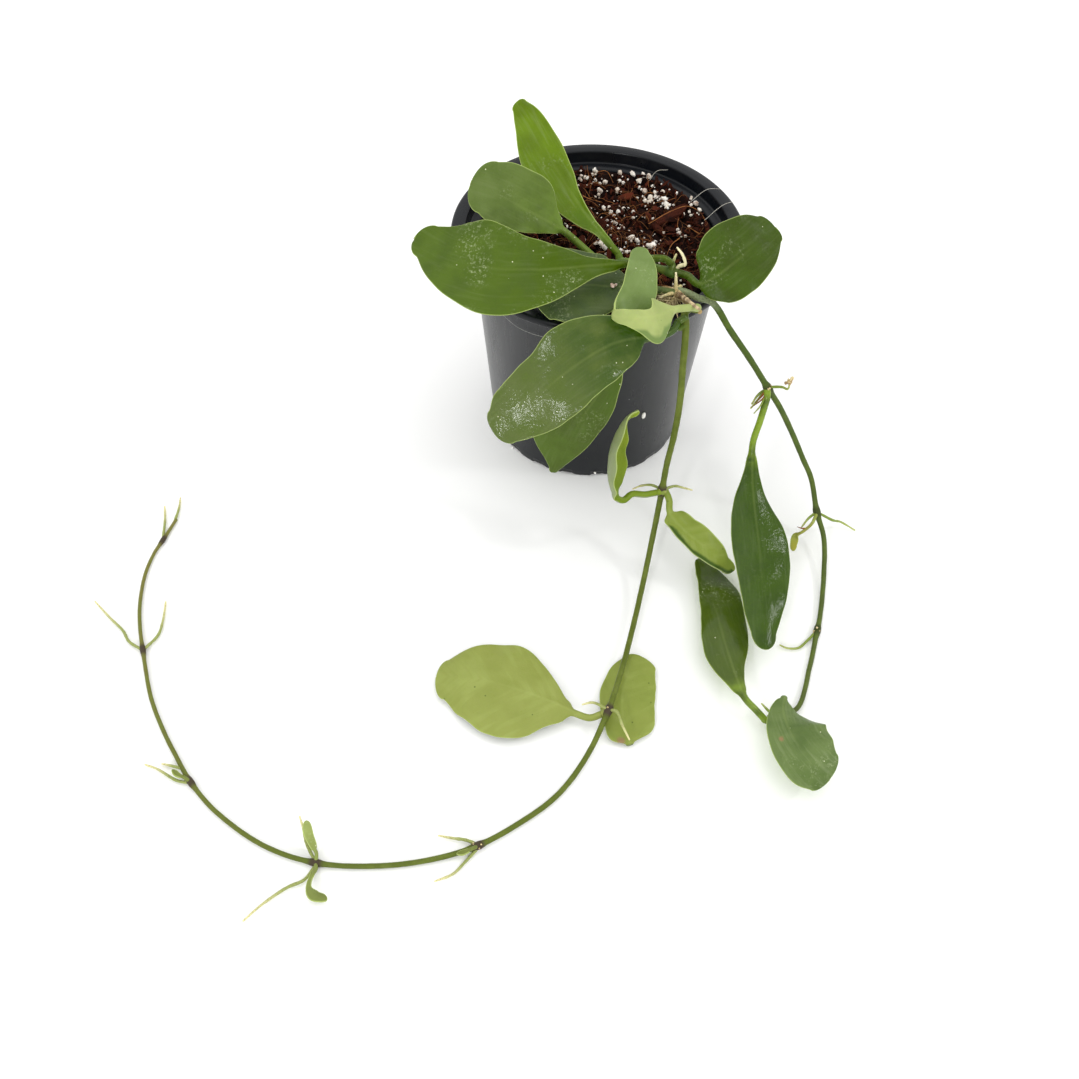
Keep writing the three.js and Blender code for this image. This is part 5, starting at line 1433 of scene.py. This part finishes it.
def plant_leaves() -> list[Leaf]:
    """Every leaf, from the crown outwards, each with a seed of its own."""
    young = dict(blade_from=0.1, face=[(0.1, 0.1, 1)], cup=12, wave=0, petiole=0.6,
                 thickness=0.9, stations=30, columns=14, ripple=0.05)
    leaves = [
        Leaf("upright_leaf", "leaf_upright", Slot.FRESH,
             LeafSkin("fresh_leaf_skin", 0x637E0E, 0x59710C, 0x4A6503, 0x8C9E4C, streaks=0.08,
                      specks=0.2),
             [(6.2, -20, 97.4), (2.1, -16.1, 99.8), (-5.1, -6.3, 103), (-12.4, 3.9, 108),
              (-19.7, 14.2, 115), (-26, 22.7, 122), (-30.2, 26.6, 126)], 0.04,
             [(0.1, -0.75, 0.66)],
             [(0, 1.5, 1.5), (0.1, 1.6, 1.6), (0.16, 2.9, 1.6), (0.2, 4.2, 1.6), (0.3, 6.8, 2),
              (0.4, 9.3, 3.1), (0.55, 11.8, 5.2), (0.7, 10.6, 5.8), (0.82, 7.8, 5.4),
              (0.92, 5.4, 3.8), (0.97, 3.6, 2.6)],
             cup=24, spring=[(7, -22.5, 95.3)]),
        Leaf("round_leaf", "leaf_round", Slot.MATURE,
             LeafSkin("dusty_sheen_leaf_skin", 0x5D6F34, 0x526528, 0x657D2C, scuffs_and_sheen=0.45),
             [(4.4, -22.6, 95), (0, -21.8, 95), (-3.5, -19.3, 96.5), (-8.9, -17.4, 100.5),
              (-13.5, -17.7, 105), (-24.7, -17.7, 112), (-34.9, -14.8, 116),
              (-45.3, -10.4, 117)], 0.38, [(-0.1, -0.6, 0.8)],
             [(0, 1.6, 1.6), (0.12, 3.4, 4.8), (0.25, 5.4, 10.2), (0.4, 7.8, 12.5),
              (0.55, 9.6, 12.2), (0.7, 9.7, 11.6), (0.82, 8, 10.2)],
             cup=8, spring=[(6.8, -22.6, 95)]),
        Leaf("left_leaf", "leaf_left", Slot.MATURE,
             LeafSkin("mature_leaf_skin", 0x506521, 0x485C1F, 0x3E5400, scuffs_and_sheen=0.6,
                      specular=0.07),
             [(23.6, -31.6, 102.6), (21.2, -31.4, 104.4), (15.3, -32.3, 105), (8.4, -36.2, 106),
              (-4.4, -40.4, 108), (-20.8, -45.4, 110), (-37, -46.2, 111), (-50.4, -40.3, 110),
              (-63.4, -28.7, 108)], 0.19, [(0, -0.5, 0.87)],
             [(0, 1.7, 1.6), (0.12, 3.6, 2.8), (0.25, 7.6, 6.2), (0.4, 13, 10.5),
              (0.55, 15.9, 14.6), (0.7, 13.3, 14.8), (0.84, 8.2, 11.5), (0.93, 4.6, 7.5)],
             cup=10, wave=0.8, spring=[(24, -32, 100)]),
        Leaf("under_leaf", "leaf_under", Slot.MATURE,
             LeafSkin("shaded_leaf_skin", 0x4A5932, 0x41512D, 0x4A592B, scuffs_and_sheen=0.5),
             [(20.2, -40.8, 98.8), (17.2, -40.5, 99.2), (12.8, -40.6, 99.5), (2.7, -41, 100),
              (-9, -40.9, 100), (-19.1, -41.6, 99.5), (-24.1, -42.7, 99)], 0.21,
             [(0, -0.2, 0.98)],
             [(0, 1.8, 1.8), (0.12, 6.5, 7), (0.25, 10.8, 11.5), (0.4, 14.6, 13.8),
              (0.55, 15.8, 15), (0.7, 15.2, 15), (0.82, 13.6, 13.6)],
             cup=5, spring=[(24, -41.6, 98.6)]),
        # Its lip is a painted shade band along the lower face's right margin.
        Leaf("rolled_leaf", "leaf_rolled", Slot.PALE,
             LeafSkin("rolled_leaf_skin", 0x6F8449, 0x63783D, 0x6F8449, 0xA2AE6A, scuffs_and_sheen=0.4,
                      specks=0.3, veins=0.15, lip=(0.0, 2.5, 0.1, 0.34)),
             [(28.9, -50.9, 100.4), (22.9, -55.1, 103), (17.7, -61.3, 105.8),
              (13.6, -64.2, 107.4), (9, -65.9, 108.6), (5.2, -65.8, 108.8), (3, -63.6, 107.4),
              (3.9, -58.4, 106), (6.5, -52.5, 106), (9.9, -45.8, 107.5), (12, -39.6, 109),
              (11.8, -33.1, 110)], 0.1,
             [(0, 0.6, -0.8)] * 3 + [(0.1, 0.6, -0.8), (0.6, 0.5, -0.5), (0.9, -0.3, 0.2),
                                     (0.3, -0.6, 0.7)] + [(0, -0.6, 0.8)] * 3,
             [(0, 1.6, 1.6), (0.06, 3.2, 2.2), (0.11, 6.2, 3.4), (0.15, 6.2, 5.4),
              (0.2, 3.2, 8.4), (0.24, 2.6, 8.2), (0.3, 2.6, 4.6), (0.36, 2.6, 2.8),
              (0.41, 2.5, 2.2), (0.45, 2.2, 1.4), (0.52, 1.6, 2.4), (0.61, 1.8, 9),
              (0.72, 2.6, 9.6), (0.82, 3.7, 7.2), (0.9, 4, 4.8), (0.96, 3, 3)],
             cup=6, wave=0.3, stations=140, ripple=0.24, spring=[(31.6, -48.9, 98.6)]),
        Leaf("front_leaf", "leaf_front", Slot.MATURE,
             LeafSkin("drooping_leaf_skin", 0x586632, 0x516225, 0x2F4B00, scuffs_and_sheen=0.1,
                      roughness=0.12, specular=0.28, relief=0.5),
             [(25, -53.2, 95.8), (23.8, -55.8, 95.4), (20.3, -58.9, 95.5), (14, -60.1, 95.5),
              (4.2, -61.6, 94), (-5.4, -64.8, 89.6), (-15.3, -69.5, 83.6),
              (-25.2, -75, 75.8), (-34.8, -79, 66.8)], 0.18,
             [(0, -0.7, 0.7)],
             [(0, 4.4, 3.6), (0.05, 6.2, 5.4), (0.12, 9, 8), (0.25, 11, 12), (0.4, 12, 14.2),
              (0.55, 12.9, 12.1), (0.7, 12.2, 11.4), (0.84, 8.8, 10.4), (0.93, 6, 7.8)],
             cup=8, wave=0.9, waves=2.5, ripple=0.07, spring=[(27.6, -51.2, 96)]),
        Leaf("low_front_leaf", "leaf_front_low", Slot.MATURE,
             LeafSkin("low_leaf_skin", 0x526727, 0x4B5C22, 0x496018),
             [(25.2, -52.2, 92.8), (20.4, -53.9, 91.5), (13.3, -55, 88.7), (7.6, -57, 82),
              (3.4, -58, 73.5), (-2.4, -59, 61), (-8.6, -61.4, 47), (-14.8, -64.5, 31)], 0.2,
             [(0, -0.8, 0.6)],
             [(0, 1.6, 1.6), (0.12, 2.4, 3.6), (0.25, 5, 7.4), (0.4, 7.8, 11), (0.55, 8.4, 13.6),
              (0.68, 7.4, 15), (0.77, 6.4, 14.4), (0.85, 4.7, 10.6), (0.92, 3, 5.2),
              (0.97, 1.7, 2)],
             cup=8, spring=[(27.9, -53.3, 94.2)]),
        Leaf("right_leaf", "leaf_right", Slot.MATURE,
             LeafSkin("right_leaf_skin", 0x3C500E, 0x38490E, 0x3C5408, scuffs_and_sheen=0.45),
             [(26.2, -33.4, 100.4), (29.1, -35.7, 101), (32.4, -40.4, 101.5), (37.1, -40.9, 105),
              (45.2, -35.9, 109), (52.2, -30, 112), (57.4, -24.6, 113)], 0.22,
             [(0, -0.65, 0.75)],
             [(0, 2.6, 2.6), (0.12, 9, 8), (0.25, 12, 11), (0.4, 13.4, 11.5), (0.55, 13.2, 10.8),
              (0.7, 11.4, 9.6), (0.84, 9, 7.4), (0.93, 6.4, 5)],
             cup=6, spring=[(24.2, -32.2, 99.9)]),
        Leaf("folded_leaf", "leaf_folded", Slot.PALE,
             LeafSkin("folded_leaf_skin", 0x889A2C, 0x7A8E22, 0x6E8420, 0x848F66, scuffs_and_sheen=0.1,
                      veins=0.1),
             [(24.2, -73.3, 31), (19.6, -74.4, 31), (14.8, -74.3, 31), (11.7, -77.2, 31),
              (9, -77.9, 33), (6.4, -74.2, 40), (5.9, -70.1, 48), (8, -66.2, 56),
              (11.2, -63.5, 61), (14.9, -62.2, 63)], 0.3,
             [(0.3, 0.3, 0.9), (0.9, -0.2, 0.4), (0.95, -0.2, 0.1)],
             [(0, 1.6, 1.6), (0.15, 6, 6), (0.35, 8.5, 8.5), (0.6, 7.4, 7.4), (0.75, 4.6, 4.6),
              (0.86, 2.4, 2.4), (0.94, 1.4, 1.4)],
             cup=62, stations=130, spring=[(26, -72.3, 31)]),
        # Its dark upper colour also fills the lip: a painted shade band along the lower face's
        # left margin, standing in for the folded half in shade.
        Leaf("hanging_leaf", "leaf_hanging", Slot.PALE,
             LeafSkin("hanging_leaf_skin", 0x3E5618, 0x6C7E2D, 0x64803A, 0x7E8D3A,
                      margin=0xC2CC8A, veins=0.1, lip=(2.2, 0.0, 0.08, 1.05)),
             [(27.4, -71.6, 30.2), (28.8, -75.2, 29), (29.2, -78.8, 26.4), (34.1, -84.2, 23),
              (41.4, -88.3, 19), (48.4, -92.2, 15), (54.1, -94.3, 11)], 0.2,
             [(0.3, 0.3, -0.9)],
             [(0, 2.6, 2.2), (0.06, 3.6, 4.2), (0.15, 3.9, 5.6), (0.25, 4.3, 6), (0.4, 5, 6.6),
              (0.55, 5, 6), (0.7, 4.6, 5), (0.85, 3.4, 3)], cup=-38, wave=0.7, waves=2.2,
             spring=[(26.4, -72.8, 31)]),
        Leaf("flat_leaf", "leaf_flat", Slot.PALE,
             LeafSkin("flat_leaf_skin", 0x4E6416, 0x7A8438, 0x4E6416, 0x8D964B, veins=0.12),
             [(3.6, -151.6, 5.2), (-0.4, -152.6, 4.2), (-4.9, -151.2, 4), (-16.1, -146.5, 5),
              (-28.5, -142.1, 5), (-42.9, -138, 4), (-55.2, -137.2, 2.4)], 0.16, [(0, 0, -1)],
             [(0, 1.8, 2.4), (0.12, 5, 8.5), (0.25, 10.3, 15), (0.4, 16, 18.5),
              (0.55, 17.6, 18.4), (0.7, 15.6, 16), (0.84, 11, 13), (0.93, 7.6, 8.6)],
             cup=8, wave=0.6, waves=3.5, spring=[(5.6, -151.3, 6.9)]),
        Leaf("notched_leaf", "leaf_notched", Slot.PALE,
             LeafSkin("notched_leaf_skin", 0x4E6416, 0x707F2F, 0x4E6416, 0x859142, veins=0.1,
                      scars=((10.0, -160.5, 3.0, 1.9),)),
             [(13.3, -161.4, 2.2), (11.8, -155.6, 2.2), (11, -149.2, 2.2), (11.5, -141.8, 2.2),
              (14, -134.6, 2.3), (18.1, -126.6, 2.6)], 0.001, [(0, 0, -1)],
             [(0, 3.2, 2.6), (0.04, 6.6, 4), (0.1, 9.6, 6.2), (0.25, 11.2, 6.8),
              (0.4, 11.6, 7.8), (0.55, 11.6, 8), (0.7, 10.9, 7.4), (0.82, 9.4, 6.2),
              (0.92, 7.6, 4.6)], cup=4, wave=0.3),
        Leaf("long_leaf", "leaf_long", Slot.MATURE,
             LeafSkin("glossy_leaf_skin", 0x364F01, 0x2F4701, 0x7A9420, roughness=0.12,
                      scuffs_and_sheen=0.1, specular=0.28, relief=0.5, fade=0.12),
             [(62, -51.8, 59.4), (60.8, -54.8, 51), (59.4, -58.1, 42), (59.6, -64.8, 35),
              (60.3, -74.3, 29), (61.5, -89.9, 23), (61.8, -110.2, 18), (61.4, -129, 12.6)],
             0.21, [(0.1, -0.3, 0.95)],
             [(0, 1.6, 1.6), (0.12, 2.8, 3.2), (0.25, 5.6, 7.4), (0.4, 10.6, 9.8),
              (0.55, 12, 9.4), (0.7, 10, 8.2), (0.82, 7.2, 6.8), (0.92, 4.6, 4.8)],
             cup=-10, ripple=0.08, spring=[(62, -49.4, 61.8)]),
        Leaf("leaf_beneath_runner", "leaf_beneath", Slot.MATURE,
             LeafSkin("beneath_leaf_skin", 0x475917, 0x415316, 0x86A030, roughness=0.12,
                      specular=0.24, relief=0.3, fade=0.14),
             [(60.6, -152.1, 4), (57.2, -149.2, 6), (53.5, -145.4, 7.5), (50.6, -135.6, 8),
              (48.2, -122.5, 8), (46.1, -107, 7), (43.8, -93.7, 5), (42.1, -83.9, 3.6)],
             0.14, [(0, 0, 1)],
             [(0, 1.6, 1.6), (0.12, 4.7, 3), (0.25, 7.6, 6.4), (0.4, 7.9, 9.6), (0.55, 5.9, 10.4),
              (0.7, 4.3, 11), (0.82, 3, 9.2), (0.92, 1.9, 5.7)],
             cup=-6, spring=[(63.6, -150.6, 3.5)]),
        Leaf("end_leaf", "leaf_end", Slot.MATURE,
             LeafSkin("end_leaf_skin", 0x647742, 0x546835, 0x647742, streaks=0.09,
                      scars=((62.9, -162.9, 13.0, 1.2),)),
             [(67.1, -145.2, 7.8), (65.6, -151.5, 9.8), (66, -158.8, 11.8), (68.1, -165.4, 12.6),
              (71.6, -170.8, 12.4), (77.8, -175.9, 9.8)], 0.001, [(0.1, -0.35, 0.93)],
             [(0, 1.2, 1.4), (0.05, 2.4, 2.4), (0.14, 5.4, 4), (0.25, 11, 5.8), (0.32, 13, 6.8),
              (0.4, 13.4, 7.5), (0.55, 12.5, 8.6), (0.7, 11.6, 9.2), (0.82, 10.6, 8.8),
              (0.92, 8.6, 7)], cup=-8),
        Leaf("first_young_leaf", "bud_leaf_first", Slot.YOUNG,
             LeafSkin("young_leaf_skin", 0x6E7836, 0x5F682E, 0x6E7836, 0x7A8446),
             [(-39.2, -199.3, 3.6), (-41.4, -200.5, 3.8), (-43.6, -200.9, 3.6)],
             outline=[(0, 0.7, 0.7), (0.5, 1, 1)], spring=[(-37.4, -197.9, 2.4)], **young),
        Leaf("upper_young_leaf", "bud_leaf_upper", Slot.YOUNG,
             LeafSkin("upper_young_leaf_skin", 0x96A25C, 0x828E4A, 0x828E4A, 0x8E9A56),
             [(-88.3, -201.4, 3.3), (-89.4, -199.6, 4.6), (-91, -196.4, 6.2), (-92.4, -192.2, 7)],
             outline=[(0, 0.9, 0.9), (0.3, 1.4, 1.4), (0.6, 1.6, 1.6)],
             spring=[(-88.3, -203.6, 2.2)], **young),
        Leaf("lower_young_leaf", "bud_leaf_lower", Slot.YOUNG,
             LeafSkin("lower_young_leaf_skin", 0x7E8A46, 0x6C763A, 0x7E8A46, 0x7C8646),
             [(-87.8, -206.6, 3), (-89, -209.4, 3.2), (-89.2, -212.4, 3.2), (-87.2, -214.9, 3),
              (-83, -215.7, 2.2)],
             outline=[(0, 0.8, 0.8), (0.35, 0.9, 0.9), (0.6, 2, 1.6), (0.8, 1.8, 1.2)],
             spring=[(-88.2, -204.6, 2.2)], **young),
        Leaf("far_young_leaf", "bud_leaf_far", Slot.YOUNG,
             LeafSkin("far_young_leaf_skin", 0x6E7836, 0x5F682E, 0x6E7836, 0x7A8446),
             [(-136.4, -176.8, 3.2), (-138.6, -176, 3.6), (-140.5, -174.7, 3.9)],
             outline=[(0, 0.7, 0.7), (0.5, 1, 1)], spring=[(-134.6, -177.6, 2.2)], **young),
        Leaf("yellow_young_leaf", "bud_leaf_yellow", Slot.YOUNG,
             LeafSkin("yellow_young_leaf_skin", 0x9C9A3A, 0x7E7430, 0x8A9440, 0x9A9648),
             [(81.6, -76.2, 11.7), (79.8, -76.8, 10.6), (79.2, -78.7, 9), (78.9, -81.6, 7)],
             outline=[(0, 0.8, 0.8), (0.4, 1.5, 1.5), (0.7, 1.4, 1.4)],
             spring=[(88.8, -67.4, 12), (86.3, -72, 12), (83.1, -75.2, 12)], **young),
    ]
    for seed, leaf in enumerate(leaves, 11):
        leaf.seed = seed
    return leaves


@dataclass
class SmallGrowth:
    """The fine dry growth: the crown's mat of rootlets and broken stub, the loose root, and the
    old flower stalk's head."""

    crown: Point = (24.2, -43.2, 97.4)
    rootlets: int = 80
    flowers: Point = (68.2, -52.6, 69.2)
    # The cream root that stands loose at the crown.
    loose: tuple[Point, ...] = ((25, -32, 99.8), (26.3, -31.9, 102), (27.9, -33.3, 104),
                                (26.9, -31.9, 106.5), (25, -29.9, 108))
    # Crumbs of the mix on the leaf under the crown: place, half sizes, and spin in radians.
    crumbs: tuple[tuple[float, ...], ...] = ((3.5, -41.4, 101.0, 1.1, 0.7, 0.5, 0.4),
                                             (4.6, -40.8, 100.8, 0.5, 0.6, 0.4, 1.2))
    # The broken end of the old stem, which lies over the nearest petiole.
    stub: tuple[Point, ...] = ((25.7, -43.6, 99.6), (27.6, -47.7, 101.2), (29.4, -50.6, 101.6),
                               (31.5, -52.5, 101.2))
    # Dry brown spikes at the knots of the short runner.
    spikes: tuple[tuple[Point, ...], ...] = (
        ((62, -49.4, 61.8), (60.8, -51.6, 60), (56.9, -52.9, 56)),
        ((61.8, -49.2, 62), (59.6, -51.2, 59.2), (57.9, -52.2, 57.6)),
        ((83.8, -74.4, 11.8), (81.6, -74.6, 12.6), (80.2, -74.2, 12.8)))
    # Knots that carry pale scars of old roots.
    scarred: tuple[Point, ...] = ((26.1, -72.1, 31), (5.8, -151.1, 7), (-37, -197.4, 1.7),
                                  (62.2, -48.8, 62), (84.7, -114, 1.7))

    def _mat(self) -> Patch:
        """Curled rootlets that spring from the crown: seeded arcs that sag."""
        rng = np.random.default_rng(51)
        threads = []
        for _ in range(self.rootlets):
            start = np.array(self.crown) + rng.normal(0, 0.8, 3)
            out = unit(rng.normal(0, 1, 3) * [1.0, 0.8, 0.35] + [-0.25, -0.35, -0.1])
            steps = np.cumsum(rng.normal(0, 0.35, (4, 3)) + out, axis=0) * rng.uniform(0.9, 1.9)
            route, tone = np.vstack([start, start + steps]), rng.uniform(0.2, 1.0)
            threads.append(thread(route, rng.uniform(0.07, 0.2), 5, tone, 12, 0.5))
        return joined(threads)

    def _flower_head(self) -> Patch:
        """Scars of old flowers: a knot of small lumps at the end of the stalk."""
        rng = np.random.default_rng(53)
        places = np.array(self.flowers) + rng.normal(0, 0.55, (12, 3)) * [0.8, 0.8, 1.5]
        turns = turned_about(unit(rng.normal(0, 1, (12, 3))), rng.uniform(0, 6, 12))
        return scattered(lump(5, 9, 1.1), places, turns, rng.uniform(0.4, 0.8, (12, 3)), rng, 0.1)

    def _scars(self) -> Patch:
        """Pale stumps of old roots: small lumps on the upper side of each scarred knot."""
        rng = np.random.default_rng(57)
        knots = np.repeat(np.array(self.scarred), 5, axis=0)
        out = unit(rng.normal(0, 1, knots.shape) * [1, 1, 0.4] + [0, -0.4, 0.9])
        return scattered(lump(4, 8, 1.1), knots + 1.75 * out, turned_about(out, out[:, 0] * 3),
                         rng.uniform(0.2, 0.42, knots.shape), rng, 0.12)

    def _loose_root(self) -> Patch:
        """The cream root that stands loose at the crown: knobbly, and half as thick at its tip."""
        s = np.linspace(0, 1, 40)
        knobs = 1 + 0.16 * wander(np.random.default_rng(55), s * 9, 0 * s, 10)
        radius = 0.62 * (1 - 0.5 * s**3) * knobs
        return tube(Spline(self.loose), s, radius, 12, {"tone": 0.75 + 0.25 * s})

    def _stub(self) -> Patch:
        """The broken end of the old stem: a scaly tube whose radius and tone vary along it with
        seeded waves."""
        s = np.linspace(0, 1, 56)
        rng = np.random.default_rng(59)
        scales = wander(rng, s * 9, 0 * s, 12)
        tone = np.clip(0.55 + 0.6 * wander(rng, s * 14, 0 * s, 12), 0, 1)
        return tube(Spline(self.stub), s, (0.88 - 0.38 * s) * (1 + 0.16 * scales), 12,
                    {"tone": tone})

    def build(self) -> None:
        """Makes the small growth."""
        scaly = LooseMatter("scaly_dry_bark", 0x4A3420, 0xD8C29A, 0x6A4A2C, 0.4, 0.8, 0.6)
        piece("broken_stub", self._stub(), scaly, Slot.WOODY)
        dry = LooseMatter("dry_rootlet", 0x5A4630, 0xD8C898, 0x7A6244, 0.3, 0.8, 0.4)
        piece("crown_rootlets", self._mat(), dry, Slot.ROOT)
        petal = LooseMatter("old_flower_scar", 0x7A4A22, 0xF0E2B0, 0xD8C080, 0.4, 0.7, 0.4)
        piece("flower_stalk_head", self._flower_head(), petal, Slot.ROOT)
        piece("root_scars", self._scars(), petal, Slot.ROOT)
        brown = LooseMatter("dry_spike", 0x4A2A16, 0xA8683A, 0x6A4020, 0.3, 0.7, 0.4)
        thorns = joined(thread(route, 0.5, 7, np.linspace(1, 0, 12), 12, 0.8)
                        for route in self.spikes)
        piece("dry_spikes", thorns, brown, Slot.ROOT)
        crumb = LooseMatter("leaf_crumb", 0xD8B8A4, 0xFFF4EA, 0xA87A64, 0.4)
        rows = np.array(self.crumbs)
        upright = np.tile([0.0, 0.0, 1.0], (len(rows), 1))
        bits = scattered(lump(6, 10, 1.4), rows[:, :3], turned_about(upright, rows[:, 6]),
                         rows[:, 3:6], np.random.default_rng(58), 0.2)
        piece("crumb_on_leaf", bits, crumb, Slot.SOIL)
        cream = LooseMatter("aerial_root_skin", 0xDACE98, 0xF6EEC4, 0xE2D6A4, 0.5, 0.6, 0.3)
        piece("loose_root", self._loose_root(), cream, Slot.ROOT, ["aerial_root"])


# ---- Studio -----------------------------------------------------------------------------------

@dataclass(frozen=True)
class Softbox:
    """A square lamp: where it stands, the point it faces, its size in mm and its power in W."""

    name: str
    place: Point
    aim: Point
    size: float
    power: float

    def build(self) -> None:
        """Hangs the lamp, with its own -Z towards the point it faces."""
        lamp = bpy.data.lights.new(self.name, "AREA")
        lamp.shape, lamp.size, lamp.energy = "SQUARE", self.size * MM, self.power
        made = bpy.data.objects.new(self.name, lamp)
        gap = np.array(self.aim, float) - np.array(self.place, float)
        facing = turned_about(unit(-gap[None]), np.zeros(1))[0]
        made.matrix_world = (Matrix.Translation(np.array(self.place) * MM)
                             @ Matrix(facing.tolist()).to_4x4())
        bpy.context.scene.collection.objects.link(made)


@dataclass
class Studio:
    """A pale floor, soft light all round and a camera at the photograph's angle."""

    eye: Point = (-19.2, -307.3, 320.8)
    pitch: float = 36.09
    roll: float = 1.18
    lens: float = 33.36
    sensor: float = 36.0
    floor_reach: float = 3000.0
    # A large softbox above, and two small ones whose glints show on the waxy leaves.
    softboxes: tuple[Softbox, ...] = (
        Softbox("overhead_softbox", (-150, 120, 900), (0, -60, 0), 1100, 2.6),
        Softbox("front_softbox", (-270, -760, 400), (-20, -70, 70), 62, 1.25),
        Softbox("right_softbox", (667, -120, 712), (50, -90, 25), 100, 1.1))

    def floor(self) -> None:
        """Lays the pale floor."""
        size = self.floor_reach
        grid = np.array([(-size, -size, 0), (size, -size, 0), (size, size, 0), (-size, size, 0)])
        patch = Patch(grid, np.array([[0, 1, 2, 3]]), np.zeros((0, 3), int))
        ground = mesh_of("floor", patch)
        sh = Shader("matt_white_paper")
        # A faint unevenness 40 mm across, as on a paper sweep.
        tone = sh.mix(sh.noise(25.0, 2.0), 0xFBFBFA, 0xFEFEFD)
        sh.add("OutputMaterial", sh.add("BsdfPrincipled", named={"Base Color": tone,
                                                                 "Roughness": 0.95}))
        ground.data.materials.append(sh.material)

    def light(self) -> None:
        """Sets a white world and the softboxes."""
        world = bpy.data.worlds.new("studio")
        world.use_nodes = True
        tree = world.node_tree
        tree.nodes.clear()
        shade = node(tree, "Background", named={"Color": (1.0, 1.0, 1.0, 1.0), "Strength": 1.0})
        node(tree, "OutputWorld", shade)
        bpy.context.scene.world = world
        for softbox in self.softboxes:
            softbox.build()

    def camera(self) -> None:
        """Sets the camera where the photograph was taken from."""
        data = bpy.data.cameras.new("camera")
        data.lens, data.sensor_width = self.lens, self.sensor
        data.clip_start, data.clip_end = 0.01, 20.0
        made = bpy.data.objects.new("camera", data)
        made.matrix_world = (Matrix.Translation(np.array(self.eye) * MM)
                             @ Matrix.Rotation(math.radians(self.pitch), 4, "X")
                             @ Matrix.Rotation(math.radians(self.roll), 4, "Z"))
        bpy.context.scene.collection.objects.link(made)
        bpy.context.scene.camera = made

    def build(self) -> None:
        """Sets the whole studio, with plain sRGB contrast so that the paper comes out white."""
        view = bpy.context.scene.view_settings
        view.view_transform, view.look = "Standard", "None"
        self.camera()
        self.floor()
        self.light()


def main() -> None:
    logging.basicConfig(level=logging.INFO, format="%(message)s")
    Studio().build()
    NurseryPot().build()
    PottingMix().build()
    for stem in plant_stems():
        stem.build()
    for leaf in plant_leaves():
        leaf.build()
    SmallGrowth().build()


if __name__ == "__main__":
    main()
